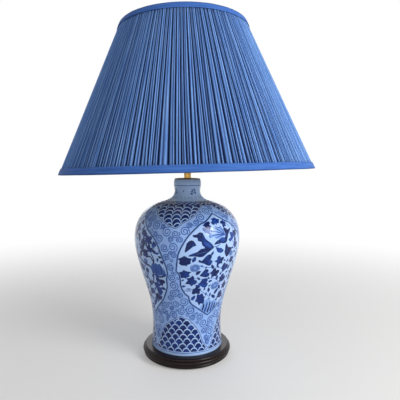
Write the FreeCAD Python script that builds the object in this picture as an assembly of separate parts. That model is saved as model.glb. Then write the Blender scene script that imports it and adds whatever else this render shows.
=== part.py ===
"""Table lamp: a porcelain vase on a turned wooden base, with a pleated fabric shade.

Frame: millimetres, +Z up, origin at the middle of the felt's underside, where the lamp
stands. The shade is carried by the harp, and both lean to -X by shade_lean about the saddle.
The viewer stands on the -Y side, and the cord inlet is at the back, on the +Y side.
"""
import FreeCAD, Part
import math
import os

Vector = FreeCAD.Vector
UP = Vector(0, 0, 1)

# ---- clearances, shared by every fit ------------------------------------------------------
running_gap = 0.05          # radial gap of a pin or shaft that turns or slides
slip_gap = 0.15             # radial gap of a plain part slipped over another
seat_gap = 0.2              # left between a piece and the piece of another body it rests on
soft_gap = 0.3              # left between cloth and its neighbours

# ---- felt and turned wooden base ----------------------------------------------------------
felt_thickness = 1.2
felt_margin = 2.0           # how far the felt stops inside the edge of the base
base_bottom_radius = 70.5
base_foot_bead_radius = 73.4
base_bead_radius = 75.1     # the widest line of the base
base_quirk_radius = 72.4    # the narrow grooves above and below the main bead
base_top_radius = 69.8      # where the rounded shoulder meets the flat top
base_foot_bead_height = 5.6
base_bead_height = 7.2
base_shoulder_height = 3.6
base_shoulder_bow = 0.3      # how far round its corner the shoulder's arc passes
base_foot_flare = 0.35      # share of the foot bead's height where its flare ends
base_foot_bulge = 0.68      # share of the foot bead's height where it is widest
base_seat_depth = 0.6       # the vase stands in this shallow seat
base_recess_radius = 24.0
base_web = 4.2              # wood left between the recess and the vase

# ---- cord inlet at the back of the base ---------------------------------------------------
inlet_height = 6.9          # above the underside of the wood
inlet_bore_radius = 3.2
inlet_barrel_radius = 4.5
inlet_barrel_length = 14.0
inlet_flange_radius = 6.0
inlet_flange_thickness = 1.6
inlet_spotface_margin = 0.6
inlet_spotface_inset = 4.1  # how far the flat spot lies inside the widest line

# ---- porcelain vase, radii and heights above its foot -------------------------------------
vase_foot_radius = 60.4
vase_foot_bevel = 0.8
vase_foot_bevel_height = 1.6
vase_foot_ring_width = 5.5
vase_foot_recess = 5.0
vase_floor = 7.0
vase_wall = 4.8
vase_waist_radius = 58.3
vase_waist_height = 28.0
vase_lower_radius = 61.9
vase_lower_height = 74.0
vase_flare_radius = 71.5
vase_flare_height = 109.0
vase_upper_radius = 83.1
vase_upper_height = 148.0
vase_belly_radius = 88.7
vase_belly_height = 190.0
vase_brow_radius = 83.0
vase_brow_height = 213.0
vase_shoulder_radius = 67.5
vase_shoulder_height = 232.3
vase_slope_radius = 42.0
vase_slope_height = 245.6
vase_root_radius = 24.6
vase_root_height = 253.4
vase_neck_radius = 21.6
vase_neck_height = 262.5
vase_lip_radius = 23.2
vase_lip_height = 274.5
vase_mouth_radius = 21.6
vase_height = 281.5
vase_bore_radius = 16.6
vase_drill_margin = 0.9     # the hole drilled in the floor is this much wider than the pipe

# ---- threaded pipe and what it clamps -----------------------------------------------------
pipe_radius = 5.145
pipe_wall = 1.6
pipe_end_below_nut = 1.4
pipe_end_in_cap = 7.0
washer_radius = 15.0
washer_thickness = 1.6
nut_across_flats = 14.3
nut_thickness = 3.6
cap_radius = 21.9
cap_rim_thickness = 0.9
cap_dome_height = 2.0
cap_dome_share = 0.75       # of its rise, reached halfway in
cap_flat_radius = 8.6
cap_plug_gap = 0.7
cap_plug_depth = 4.0
neck_tube_wall = 0.6
neck_tube_length = 19.05

# ---- harp, harp saddle and ferrules -------------------------------------------------------
shade_lean = 1.92           # degrees, the right side of the shade stands high
saddle_pad_radius = 9.5
saddle_pad_thickness = 2.8
saddle_strip_width = 10.0
saddle_strip_thickness = 2.0
saddle_ear_height = 14.0    # above the strip
saddle_ear_wall = 0.9
harp_wire_radius = 1.6
harp_leg_x = 27.0
harp_half_width = 57.0
harp_height = 203.2         # from the saddle to the top of the seat
harp_leg_height = 66.0
harp_flare_height = 118.0
harp_flare_bend = 60.0
harp_crown_bend = 52.0
harp_eye_radius = 6.5
harp_eye_thickness = 3.4
ferrule_wall = 0.7
ferrule_lip = 2.5
ferrule_head_room = 2.0     # inside, between the ear and the lip
ferrule_ear_gap = 0.1

# ---- swivel, finial and its stud ----------------------------------------------------------
seat_radius = 9.0
seat_thickness = 2.2
stud_radius = 3.175
stud_length = 14.0
swivel_pin_radius = 2.4
swivel_head_radius = 4.0
swivel_head_thickness = 1.2
finial_collar_radius = 6.4
finial_collar_height = 2.4
finial_waist_radius = 4.9
finial_waist_height = 5.2
finial_ball_radius = 8.6
finial_tip_radius = 2.6
finial_tip_height = 4.6
finial_bore_room = 1.2      # between the stud's end and the end of the bore

# ---- socket -------------------------------------------------------------------------------
hub_radius = 7.4
hub_height = 8.0
socket_cap_height = 16.0    # from the hub to the open edge
socket_cap_skirt = 6.0
socket_cap_wall = 0.7
socket_cap_bow = 0.29       # how far the cap's curve passes inside its widest line
socket_cap_bow_height = 0.4 # share of the curve's height where that is
socket_shell_radius = 16.0
socket_shell_wall = 0.6
socket_shell_height = 46.0
socket_bead_depth = 0.8
socket_bead_height = 3.0
sleeve_gap = 0.2
sleeve_wall = 0.5
sleeve_end_gap = 2.0
insulator_radius = 10.6
insulator_height = 20.0
insulator_lift = 1.0        # above the floor of the socket's cap
screw_shell_wall = 0.5
screw_shell_length = 23.0
screw_shell_lip = 0.9
thread_pitch = 3.63
thread_depth = 0.55
thread_turns = 4
contact_radius = 4.0
contact_thickness = 0.6
contact_lift = 1.4
terminal_head_radius = 3.0
terminal_head_thickness = 1.8
terminal_shank_radius = 1.6
terminal_shank_length = 5.0
terminal_height = 8.0       # above the bottom of the insulator
set_screw_radius = 1.5
set_screw_length = 5.0
set_screw_height = 4.2      # above the bottom of the hub
knob_axis_height = 13.0     # above the bottom of the insulator
knob_shaft_radius = 2.0
knob_shaft_depth = 5.0      # into the insulator
knob_start_gap = 1.6        # from the shell to the knob
knob_radius = 6.4
knob_length = 13.0
knob_shaft_in_knob = 9.0
knob_rib_count = 12
knob_rib_radius = 0.6
knob_round = 1.28           # rounding of the knob's front edge
knob_slot_margin = 0.7

# ---- bulb ---------------------------------------------------------------------------------
bulb_radius = 30.0
bulb_length = 110.0
bulb_neck_radius = 13.6
bulb_neck_curve = 60.0
bulb_glass_wall = 0.8
bulb_base_length = 26.0
bulb_base_wall = 0.5
bulb_insulator_height = 3.6
bulb_insulator_step = 1.5   # how far the black glass shows round the tip
bulb_base_collar = 2.4      # plain metal above the bulb's thread
bulb_tip_radius = 4.4
bulb_tip_height = 1.2
bulb_tip_face = 0.6         # share of the tip's radius that is flat
bulb_stem_radius = 4.0
bulb_stem_length = 26.0
bulb_stem_flare = 12.0      # height over which the stem widens to the neck
bulb_filament_width = 24.0
bulb_filament_rise = 18.0
bulb_filament_radius = 0.7

# ---- shade --------------------------------------------------------------------------------
shade_bottom_radius = 207.0
shade_top_radius = 104.0
shade_height = 235.7
spider_drop = 21.0          # from the top edge of the shade down to the spider's washer
spider_washer_radius = 9.5
spider_washer_thickness = 1.5
spider_wire_radius = 1.6
spider_arm_count = 3
spider_inner_run = 20.0
spider_outer_run = 24.0
spider_bend = 10.0
trim_thickness = 0.8
trim_bottom_height = 10.0
trim_top_height = 9.0
trim_inner_height = 7.0
pleat_count = 156
pleat_depth = 2.8
pleat_backing = 0.5
pleat_flank = 0.22          # share of a pleat's width that each of its sides takes
pleat_drift = 0.25          # how far a pleat strays, in pleats
pleat_drift_waves = 7       # slow waves of that drift round the shade
pleat_drift_ripples = 19    # and the faster ones on them
ring_wire_radius = 1.3
rib_count = 8
rib_radius = 1.1
lining_thickness = 0.8


# ---- heights that follow from the driving dimensions --------------------------------------
base_bottom = felt_thickness
base_height = base_foot_bead_height + base_bead_height + base_shoulder_height
base_top = base_bottom + base_height
vase_foot = base_top - base_seat_depth
recess_top = vase_foot - base_web
vase_top = vase_foot + vase_height
cap_top = vase_top + cap_dome_height
neck_top = cap_top + neck_tube_length
saddle_height = neck_top + saddle_pad_thickness / 2
socket_bottom = neck_top + saddle_pad_thickness
saddle_top = saddle_height + saddle_strip_thickness / 2
seat_top = saddle_height + harp_height
washer_bottom = seat_top + seat_gap
washer_top = washer_bottom + spider_washer_thickness
shade_top = washer_top + spider_drop
shade_bottom = shade_top - shade_height
shade_slope = math.atan2(shade_bottom_radius - shade_top_radius, shade_height)

# The layers of the shade's wall, each measured square to it from the outermost line.
cover_inset = trim_thickness + soft_gap
cover_back = cover_inset + pleat_depth + pleat_backing
wire_inset = cover_back + soft_gap
wire_middle = wire_inset + ring_wire_radius
lining_inset = wire_inset + 2 * ring_wire_radius + soft_gap
lining_back = lining_inset + lining_thickness
trim_leg_inset = lining_back + soft_gap
trim_leg_back = trim_leg_inset + trim_thickness


# ---- helpers ------------------------------------------------------------------------------
def save(shape, node):
    """Write one node to its own file."""
    if shape.Volume < 0:
        shape.reverse()
    if not shape.isValid():
        print("not valid:", node)
    print(f"{node}: {len(shape.Solids)} solid(s), {shape.Volume:.1f} mm3")
    shape.exportStep(f"parts/{node}.step")


def point(pair):
    """A point of an outline, given as radius and height."""
    return Vector(pair[0], 0, pair[1])


def outline(start, *steps):
    """The edges of an outline: a step is an end, or a point to pass and an end for an arc."""
    edges = []
    here = point(start)
    for step in steps:
        if isinstance(step[0], tuple):
            there = point(step[1])
            edges.append(Part.Arc(here, point(step[0]), there).toShape())
        else:
            there = point(step)
            edges.append(Part.LineSegment(here, there).toShape())
        here = there
    return edges


def spin(edges):
    """A solid of revolution about Z from the edges of a closed outline."""
    solid = Part.Face(Part.Wire(edges)).revolve(Vector(0, 0, 0), UP, 360)
    if solid.Volume < 0:
        solid.reverse()
    return solid


def turned(start, *steps):
    """A solid of revolution about Z, whose outline runs back to its start by itself."""
    return spin(outline(start, *steps, start))


def rod(radius, low, high, x=0.0, y=0.0):
    """An upright cylinder between two heights."""
    return Part.makeCylinder(radius, high - low, Vector(x, y, low))


def tube(outer, inner, low, high, x=0.0, y=0.0):
    """An upright round tube between two heights."""
    return rod(outer, low, high, x, y).cut(rod(inner, low, high, x, y))


def block(x0, x1, y0, y1, z0, z1):
    """A box between two corners."""
    return Part.makeBox(x1 - x0, y1 - y0, z1 - z0, Vector(x0, y0, z0))


def leaned(shape):
    """Turn a piece that was built upright to the lean of the shade."""
    turned_shape = shape.copy()
    turned_shape.rotate(Vector(0, 0, saddle_height), Vector(0, 1, 0), -shade_lean)
    return turned_shape


def bent_path(corners, bends):
    """Straight runs through the corners, joined by arcs of the given radii."""
    edges = []
    here = corners[0]
    for before, corner, after, bend in zip(corners, corners[1:], corners[2:], bends):
        back = (before - corner).normalize()
        ahead = (after - corner).normalize()
        half_turn = (math.pi - back.getAngle(ahead)) / 2
        reach = bend * math.tan(half_turn)
        start = corner + back * reach
        end = corner + ahead * reach
        inward = (back + ahead).normalize()
        middle = corner + inward * (bend / math.cos(half_turn) - bend)
        edges.append(Part.LineSegment(here, start).toShape())
        edges.append(Part.Arc(start, middle, end).toShape())
        here = end
    edges.append(Part.LineSegment(here, corners[-1]).toShape())
    return Part.Wire(edges)


def wire_solid(path, radius, heading):
    """A round wire along a path that starts in the given direction."""
    start = path.Edges[0].firstVertex().Point
    ring = Part.Wire([Part.makeCircle(radius, start, heading)])
    return path.makePipeShell([ring], True, False)


# ---- base ---------------------------------------------------------------------------------
def felt_pad():
    """The felt under the base, which covers the recess."""
    return rod(base_bottom_radius - felt_margin, 0, felt_thickness)


def wooden_base():
    """The turned base, with its seat, its recess, its pipe hole and its cord channel."""
    foot_top = base_bottom + base_foot_bead_height
    bead_top = foot_top + base_bead_height
    lip = (base_foot_bead_radius - base_quirk_radius) / 2
    shoulder_middle = (
        base_quirk_radius - (base_quirk_radius - base_top_radius) * base_shoulder_bow,
        base_top - base_shoulder_height * base_shoulder_bow,
    )
    body = turned(
        (0, base_bottom),
        (base_bottom_radius, base_bottom),
        (base_foot_bead_radius - lip, base_bottom + base_foot_bead_height * base_foot_flare),
        ((base_foot_bead_radius, base_bottom + base_foot_bead_height * base_foot_bulge),
         (base_quirk_radius, foot_top)),
        ((base_bead_radius, (foot_top + bead_top) / 2), (base_quirk_radius, bead_top)),
        (shoulder_middle, (base_top_radius, base_top)),
        (vase_foot_radius + slip_gap, base_top),
        (vase_foot_radius + slip_gap, vase_foot),
        (0, vase_foot),
    )
    recess = rod(base_recess_radius, base_bottom, recess_top)
    hole = rod(pipe_radius + slip_gap, recess_top, vase_foot)
    return body.cut(recess.fuse(hole)).cut(inlet_cut())


def inlet_axis_height():
    """The height of the middle of the cord inlet."""
    return base_bottom + inlet_height


def inlet_face():
    """How far back the flat spot lies that the bushing's flange rests on."""
    return base_bead_radius - inlet_spotface_inset


def rod_back(radius, near, far):
    """A level cylinder on the inlet's axis, between two distances behind the middle."""
    start = Vector(0, near, inlet_axis_height())
    return Part.makeCylinder(radius, far - near, start, Vector(0, 1, 0))


def inlet_cut():
    """The channel from the recess to the back, and the flat spot round its mouth."""
    channel = rod_back(inlet_barrel_radius + running_gap, base_recess_radius / 2, inlet_face())
    spot_radius = inlet_flange_radius + inlet_spotface_margin
    spot = rod_back(spot_radius, inlet_face(), base_bead_radius + spot_radius)
    return channel.fuse(spot)


def cord_bushing():
    """The moulded bushing that lines the mouth of the cord channel."""
    face = inlet_face()
    barrel = rod_back(inlet_barrel_radius, face - inlet_barrel_length, face)
    flange = rod_back(inlet_flange_radius, face, face + inlet_flange_thickness)
    far = face + inlet_flange_thickness
    bore = rod_back(inlet_bore_radius, face - inlet_barrel_length, far)
    return barrel.fuse(flange).cut(bore).removeSplitter()


def base_washer():
    """The steel washer in the recess."""
    low = recess_top - washer_thickness
    return tube(washer_radius, pipe_radius + slip_gap, low, recess_top)


def base_locknut():
    """The hexagonal nut that draws the pipe down."""
    low = recess_top - washer_thickness - nut_thickness
    corner = nut_across_flats / math.sqrt(3)
    sides = [math.radians(60 * k) for k in range(7)]
    ring = [Vector(corner * math.cos(a), corner * math.sin(a), low) for a in sides]
    body = Part.Face(Part.makePolygon(ring)).extrude(Vector(0, 0, nut_thickness))
    return body.cut(rod(pipe_radius, low, low + nut_thickness))


# ---- vase ---------------------------------------------------------------------------------
def vase_stations():
    """The points that the vase's outer outline runs through, foot first."""
    stations = [
        (vase_foot_radius, vase_foot_bevel_height),
        (vase_waist_radius, vase_waist_height),
        (vase_lower_radius, vase_lower_height),
        (vase_flare_radius, vase_flare_height),
        (vase_upper_radius, vase_upper_height),
        (vase_belly_radius, vase_belly_height),
        (vase_brow_radius, vase_brow_height),
        (vase_shoulder_radius, vase_shoulder_height),
        (vase_slope_radius, vase_slope_height),
        (vase_root_radius, vase_root_height),
        (vase_neck_radius, vase_neck_height),
        (vase_lip_radius, vase_lip_height),
        (vase_mouth_radius, vase_height),
    ]
    return [Vector(radius, 0, vase_foot + height) for radius, height in stations]


def vase():
    """The porcelain body, hollow, with a drilled floor and a foot ring."""
    outer = Part.BSplineCurve()
    outer.interpolate(Points=vase_stations())
    first_inside = Vector(0, 0, vase_foot + vase_foot_recess + vase_floor)
    inner_points = []
    for station in vase_stations()[1:-2]:
        along = outer.tangent(outer.parameter(station))[0]
        inward = Vector(-along.z, 0, along.x)
        inner_points.append(station + inward * vase_wall)
    inner_points.append(Vector(vase_bore_radius, 0, vase_foot + vase_lip_height))
    inner = Part.BSplineCurve()
    inner.interpolate(Points=inner_points)
    floor_edge = Vector(vase_foot_radius - vase_wall - vase_floor, 0, first_inside.z)
    ring_inside = vase_foot_radius - vase_foot_bevel - vase_foot_ring_width
    bottom = outline(
        (0, vase_foot + vase_foot_recess),
        (ring_inside, vase_foot + vase_foot_recess),
        (ring_inside, vase_foot),
        (vase_foot_radius - vase_foot_bevel, vase_foot),
        (vase_foot_radius, vase_foot + vase_foot_bevel_height),
    )
    mouth = outline(
        (vase_mouth_radius, vase_top),
        (vase_bore_radius, vase_top),
        (vase_bore_radius, vase_foot + vase_lip_height),
    )
    inside = [
        inner.toShape(),
        Part.LineSegment(inner_points[0], floor_edge).toShape(),
        Part.LineSegment(floor_edge, first_inside).toShape(),
    ]
    closing = outline((0, first_inside.z), (0, vase_foot + vase_foot_recess))
    body = spin(bottom + [outer.toShape()] + mouth + inside + closing)
    drilled = rod(pipe_radius + vase_drill_margin, vase_foot, first_inside.z)
    return body.cut(drilled)


def threaded_pipe():
    """The pipe from the nut in the base up into the socket's cap."""
    low = recess_top - washer_thickness - nut_thickness - pipe_end_below_nut
    return tube(pipe_radius, pipe_radius - pipe_wall, low, socket_bottom + pipe_end_in_cap)


def vase_cap():
    """The low brass cap on the lip, with a plug that centres it in the mouth."""
    rim_top = vase_top + cap_rim_thickness
    plug = vase_bore_radius - cap_plug_gap
    plug_inside = plug - cap_rim_thickness
    half_radius = (cap_radius + cap_flat_radius) / 2
    half_height = rim_top + (cap_top - rim_top) * cap_dome_share
    hole = pipe_radius + slip_gap
    return turned(
        (hole, cap_top - cap_rim_thickness),
        (cap_flat_radius, cap_top - cap_rim_thickness),
        (plug_inside, vase_top),
        (plug_inside, vase_top - cap_plug_depth),
        (plug, vase_top - cap_plug_depth),
        (plug, vase_top),
        (cap_radius, vase_top),
        (cap_radius, rim_top),
        ((half_radius, half_height), (cap_flat_radius, cap_top)),
        (hole, cap_top),
    )


def neck_tube():
    """The brass tube that shows between the vase and the shade."""
    inner = pipe_radius + slip_gap
    return tube(inner + neck_tube_wall, inner, cap_top, neck_top)


# ---- saddle, ferrules and harp ------------------------------------------------------------
def saddle_ear(side):
    """The half-round ear that holds one leg of the harp, on its outer side."""
    inner = harp_wire_radius + 2 * running_gap
    outer = inner + saddle_ear_wall
    x = side * harp_leg_x
    high = saddle_top + saddle_ear_height
    ear = tube(outer, inner, saddle_height, high, x)
    return ear.common(block(min(x, 2 * x), max(x, 2 * x), -outer, outer, saddle_height, high))


def harp_saddle():
    """The strip that the pipe clamps, with its two ears leaned like the shade."""
    half = saddle_strip_width / 2
    low = saddle_height - saddle_strip_thickness / 2
    strip = block(-harp_leg_x, harp_leg_x, -half, half, low, saddle_top)
    for side in (-1, 1):
        strip = strip.fuse(rod(half, low, saddle_top, side * harp_leg_x))
        strip = strip.fuse(saddle_ear(side))
    pad = rod(saddle_pad_radius, neck_top, socket_bottom)
    hole = rod(pipe_radius + slip_gap, neck_top - half, socket_bottom + half)
    return leaned(strip).fuse(pad).cut(hole).removeSplitter()


def ferrule(side):
    """The sleeve that slides down over one leg and its ear."""
    x = side * harp_leg_x
    low = saddle_top + soft_gap
    inner = harp_wire_radius + 2 * running_gap + saddle_ear_wall + ferrule_ear_gap
    cavity_top = saddle_top + saddle_ear_height + ferrule_head_room
    body = rod(inner + ferrule_wall, low, cavity_top + ferrule_lip, x)
    cavity = rod(inner, low, cavity_top, x)
    slide_hole = rod(harp_wire_radius + running_gap, cavity_top, cavity_top + ferrule_lip, x)
    return leaned(body.cut(cavity).cut(slide_hole))


def eye_middle():
    """The height of the middle of the harp's eye."""
    return seat_top - seat_thickness - seat_gap - harp_eye_thickness / 2


def harp():
    """The bent wire loop with a flat drilled eye at its top."""
    crown = eye_middle()
    eye = rod(harp_eye_radius, crown - harp_eye_thickness / 2, crown + harp_eye_thickness / 2)
    loop = eye
    for side in (-1, 1):
        path = bent_path(
            [
                Vector(side * harp_leg_x, 0, saddle_top + soft_gap),
                Vector(side * harp_leg_x, 0, saddle_height + harp_leg_height),
                Vector(side * harp_half_width, 0, saddle_height + harp_flare_height),
                Vector(side * harp_half_width, 0, crown),
                Vector(side * swivel_pin_radius, 0, crown),
            ],
            [harp_flare_bend, harp_flare_bend, harp_crown_bend],
        )
        loop = loop.fuse(wire_solid(path, harp_wire_radius, UP))
    hole = rod(swivel_pin_radius + running_gap, crown - harp_eye_radius, crown + harp_eye_radius)
    return leaned(loop.cut(hole))


# ---- swivel and finial --------------------------------------------------------------------
def swivel_seat():
    """The disc on top of the harp that the shade rests on."""
    low = seat_top - seat_thickness
    return leaned(tube(seat_radius, swivel_pin_radius, low, seat_top))


def swivel_stud():
    """The stud that turns in the harp's eye: a riveted head, a pin and a threaded end."""
    eye_bottom = eye_middle() - harp_eye_thickness / 2 - seat_gap
    head_bottom = eye_bottom - swivel_head_thickness
    return leaned(turned(
        (0, head_bottom),
        (swivel_head_radius, head_bottom),
        (swivel_head_radius, eye_bottom),
        (swivel_pin_radius, eye_bottom),
        (swivel_pin_radius, seat_top),
        (stud_radius, seat_top),
        (stud_radius, seat_top + stud_length),
        (0, seat_top + stud_length),
    ))


def finial():
    """The turned brass finial that holds the shade down, with its blind bore."""
    low = washer_top + seat_gap
    waist = low + finial_waist_height
    bore = stud_radius + running_gap
    bore_top = seat_top + stud_length + finial_bore_room
    ball_drop = math.sqrt(finial_ball_radius ** 2 - finial_waist_radius ** 2)
    ball = waist + ball_drop
    tip_drop = math.sqrt(finial_ball_radius ** 2 - finial_tip_radius ** 2)
    tip = ball + tip_drop
    tip_bend = (finial_tip_radius ** 2 + finial_tip_height ** 2) / (2 * finial_tip_height)
    tip_middle = tip + finial_tip_height - tip_bend
    tip_side = (tip_bend * math.sin(math.pi / 4), tip_middle + tip_bend * math.cos(math.pi / 4))
    return leaned(turned(
        (bore, low),
        (finial_collar_radius, low),
        (finial_collar_radius, low + finial_collar_height),
        (finial_waist_radius, waist),
        ((finial_ball_radius, ball), (finial_tip_radius, tip)),
        (tip_side, (0, tip + finial_tip_height)),
        (0, bore_top),
        (bore, bore_top),
    ))


# ---- socket -------------------------------------------------------------------------------
cap_floor = socket_bottom + hub_height
shell_bottom = cap_floor + socket_cap_height - socket_cap_skirt
shell_top = shell_bottom + socket_shell_height
insulator_bottom = shell_bottom + insulator_lift
insulator_top = insulator_bottom + insulator_height
knob_height = insulator_bottom + knob_axis_height
bulb_bottom = insulator_top + contact_lift + contact_thickness + seat_gap
thread_root = bulb_neck_radius - 2 * thread_depth
shell_screw_radius = bulb_neck_radius - thread_depth / 2 + running_gap


def rod_front(radius, near, far):
    """A level cylinder on the switch's axis, between two distances in front of the middle."""
    start = Vector(0, -near, knob_height)
    return Part.makeCylinder(radius, far - near, start, Vector(0, -1, 0))


def socket_cap():
    """The brass cap of the socket, screwed on the pipe, with its hub and set-screw hole."""
    edge = cap_floor + socket_cap_height
    outer = socket_shell_radius + slip_gap + socket_cap_wall
    inner = socket_shell_radius + slip_gap
    bend = edge - socket_cap_skirt
    bow = (outer - hub_radius) * socket_cap_bow
    bow_height = cap_floor + (bend - cap_floor) * socket_cap_bow_height
    body = turned(
        (pipe_radius, socket_bottom),
        (hub_radius, socket_bottom),
        (hub_radius, cap_floor),
        ((outer - bow, bow_height), (outer, bend)),
        (outer, edge),
        (inner, edge),
        (inner, bend),
        ((inner - bow, bow_height + socket_cap_wall),
         (hub_radius - socket_cap_wall, cap_floor + socket_cap_wall)),
        (pipe_radius, cap_floor + socket_cap_wall),
    )
    return body.cut(set_screw_rod(hub_radius * 2))


def set_screw_rod(reach):
    """A level cylinder at the back of the hub, for the set screw and its hole."""
    start = Vector(0, pipe_radius, socket_bottom + set_screw_height)
    return Part.makeCylinder(set_screw_radius, reach, start, Vector(0, 1, 0))


def socket_shell():
    """The thin brass shell, with a bead round its mouth and a slot for the switch."""
    inner = socket_shell_radius - socket_shell_wall
    bead_low = shell_top - socket_bead_height
    bead_middle = shell_top - socket_bead_height / 2
    body = turned(
        (inner, shell_bottom),
        (socket_shell_radius, shell_bottom),
        (socket_shell_radius, bead_low),
        ((socket_shell_radius + socket_bead_depth, bead_middle), (socket_shell_radius, shell_top)),
        (inner, shell_top),
        (inner, bead_low),
    )
    return body.cut(switch_slot(shell_bottom))


def switch_slot(low):
    """The open-ended slot that lets a shell pass over the switch's shaft."""
    half = knob_shaft_radius + knob_slot_margin
    reach = 2 * socket_shell_radius
    hole = rod_front(half, 0, reach)
    return hole.fuse(block(-half, half, -reach, 0, low, knob_height))


def insulating_sleeve():
    """The cardboard sleeve between the shell and the live parts."""
    outer = socket_shell_radius - socket_shell_wall - sleeve_gap
    low = shell_bottom + sleeve_gap
    body = tube(outer, outer - sleeve_wall, low, shell_top - sleeve_end_gap)
    return body.cut(switch_slot(low))


def terminal_screw(side, reach, depth):
    """The head and the shank of one terminal screw, or of the hole for its shank."""
    height = insulator_bottom + terminal_height
    outward = Vector(side, 0, 0)
    face = Vector(side * insulator_radius, 0, height)
    shank = Part.makeCylinder(terminal_shank_radius, depth, face - outward * depth, outward)
    if reach <= 0:
        return shank
    return Part.makeCylinder(terminal_head_radius, reach, face, outward).fuse(shank)


def socket_insulator():
    """The moulded switch body, on the cap's step, which carries the screw shell."""
    flange_low = insulator_top - screw_shell_lip
    hub = pipe_radius + pipe_wall
    body = rod(insulator_radius, insulator_bottom, flange_low)
    flange_radius = shell_screw_radius + screw_shell_wall + thread_depth
    body = body.fuse(rod(flange_radius, flange_low, insulator_top))
    body = body.fuse(rod(hub, cap_floor + socket_cap_wall + sleeve_gap, insulator_bottom))
    body = body.fuse(rod(contact_radius, insulator_top, insulator_top + contact_lift))
    shaft_hole = rod_front(
        knob_shaft_radius + running_gap, insulator_radius - knob_shaft_depth, insulator_radius
    )
    body = body.cut(shaft_hole)
    for side in (-1, 1):
        body = body.cut(terminal_screw(side, 0, terminal_shank_length))
    return body.removeSplitter()


def terminal_screws():
    """The two terminal screws in the sides of the insulator."""
    screws = []
    for side in (-1, 1):
        screws.append(terminal_screw(side, terminal_head_thickness, terminal_shank_length))
    return Part.makeCompound(screws)


def threaded_edge(crest, root, low):
    """Outline steps up a rolled thread: each turn runs from root to crest and back."""
    steps = []
    for turn in range(thread_turns):
        start = low + turn * thread_pitch
        steps.append(((crest, start + thread_pitch / 2), (root, start + thread_pitch)))
    return steps


def screw_shell():
    """The threaded shell that takes the bulb's base."""
    crest = shell_screw_radius + thread_depth
    low = insulator_top
    first = low + screw_shell_length - thread_pitch * thread_turns - screw_shell_lip
    outer = threaded_edge(crest + screw_shell_wall, shell_screw_radius + screw_shell_wall, first)
    inner = threaded_edge(crest, shell_screw_radius, first)
    high = low + screw_shell_length
    start = (shell_screw_radius, low)
    inner_edges = outline(start, (shell_screw_radius, first), *inner, (shell_screw_radius, high))
    outside = shell_screw_radius + screw_shell_wall
    outer_edges = outline(start, (outside, low), (outside, first), *outer, (outside, high))
    rim = outline((outside, high), (shell_screw_radius, high))
    return spin(inner_edges[::-1] + outer_edges + rim)


def centre_contact():
    """The spring contact under the bulb's tip, drawn as its resting disc."""
    low = insulator_top + contact_lift
    return rod(contact_radius, low, low + contact_thickness)


def switch_shaft():
    """The shaft from the switch out through the shell into the knob."""
    start = insulator_radius - knob_shaft_depth
    knob_start = socket_shell_radius + knob_start_gap
    return rod_front(knob_shaft_radius, start, knob_start + knob_shaft_in_knob)


def switch_knob():
    """The ribbed turning knob."""
    start = socket_shell_radius + knob_start_gap
    body = rod_front(knob_radius, start, start + knob_length)
    body = body.makeFillet(knob_round, [body.Edges[0]])
    for k in range(knob_rib_count):
        angle = 2 * math.pi * k / knob_rib_count
        middle = Vector(
            knob_radius * math.cos(angle), -start, knob_height + knob_radius * math.sin(angle)
        )
        groove = Part.makeCylinder(knob_rib_radius, knob_length, middle, Vector(0, -1, 0))
        body = body.cut(groove)
    return body.cut(rod_front(knob_shaft_radius, start, start + knob_shaft_in_knob))


# ---- bulb ---------------------------------------------------------------------------------
def bulb_outline(inset):
    """The bulb's outline from its neck up to its crown, set in from the outer glass."""
    globe = bulb_radius - inset
    curve = bulb_neck_curve + inset
    middle = bulb_bottom + bulb_length - bulb_radius
    neck = bulb_neck_radius - inset
    across = neck + curve
    span = globe + curve
    rise = math.sqrt(span ** 2 - across ** 2)
    curve_start = middle - rise
    meet = (across * globe / span, middle - rise * globe / span)
    turn = math.atan2(rise, across) / 2
    halfway = (across - curve * math.cos(turn), curve_start + curve * math.sin(turn))
    lift = (math.pi / 2 + math.atan2(meet[1] - middle, meet[0])) / 2
    side_angle = math.pi / 2 - lift
    side = (globe * math.cos(side_angle), middle + globe * math.sin(side_angle))
    return [(neck, curve_start), (halfway, meet), (side, (0, middle + globe))]


def bulb_glass():
    """The frosted glass envelope."""
    low = bulb_bottom + bulb_base_length
    outer = bulb_outline(0)
    inner = bulb_outline(bulb_glass_wall)
    outer_edges = outline((bulb_neck_radius, low), *outer)
    inside = bulb_neck_radius - bulb_glass_wall
    inner_edges = outline((inside, low), *inner)
    crown = outer[-1][1][1]
    top = outline((0, crown), (0, crown - bulb_glass_wall))
    foot = outline((bulb_neck_radius, low), (inside, low))
    return spin(outer_edges + top + inner_edges[::-1] + foot)


def bulb_base():
    """The threaded metal base of the bulb."""
    low = bulb_bottom + bulb_insulator_height
    high = bulb_bottom + bulb_base_length
    first = high - thread_turns * thread_pitch - bulb_base_collar
    crest = bulb_neck_radius - thread_depth / 2
    inside = thread_root - bulb_base_wall
    steps = threaded_edge(crest, thread_root, first)
    return turned(
        (inside, low),
        (thread_root, low),
        (thread_root, first),
        *steps,
        (thread_root, high),
        (inside, high),
    )


def bulb_insulator():
    """The black glass button between the base and the tip."""
    high = bulb_bottom + bulb_insulator_height
    low = bulb_bottom + bulb_tip_height
    return turned(
        (0, low), (bulb_tip_radius + bulb_insulator_step, low), (thread_root, high), (0, high)
    )


def bulb_tip():
    """The contact at the bulb's tip."""
    return turned(
        (0, bulb_bottom),
        (bulb_tip_radius * bulb_tip_face, bulb_bottom),
        (bulb_tip_radius, bulb_bottom + bulb_tip_height),
        (0, bulb_bottom + bulb_tip_height),
    )


def bulb_stem():
    """The glass stem inside the bulb, which stands on a flare sealed in the neck."""
    low = bulb_bottom + bulb_base_length
    flare = bulb_neck_radius - bulb_glass_wall
    return turned(
        (0, low),
        (flare, low),
        (flare, low + bulb_glass_wall),
        (bulb_stem_radius, low + bulb_stem_flare),
        (bulb_stem_radius / 2, low + bulb_stem_length),
        (0, low + bulb_stem_length),
    )


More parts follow.
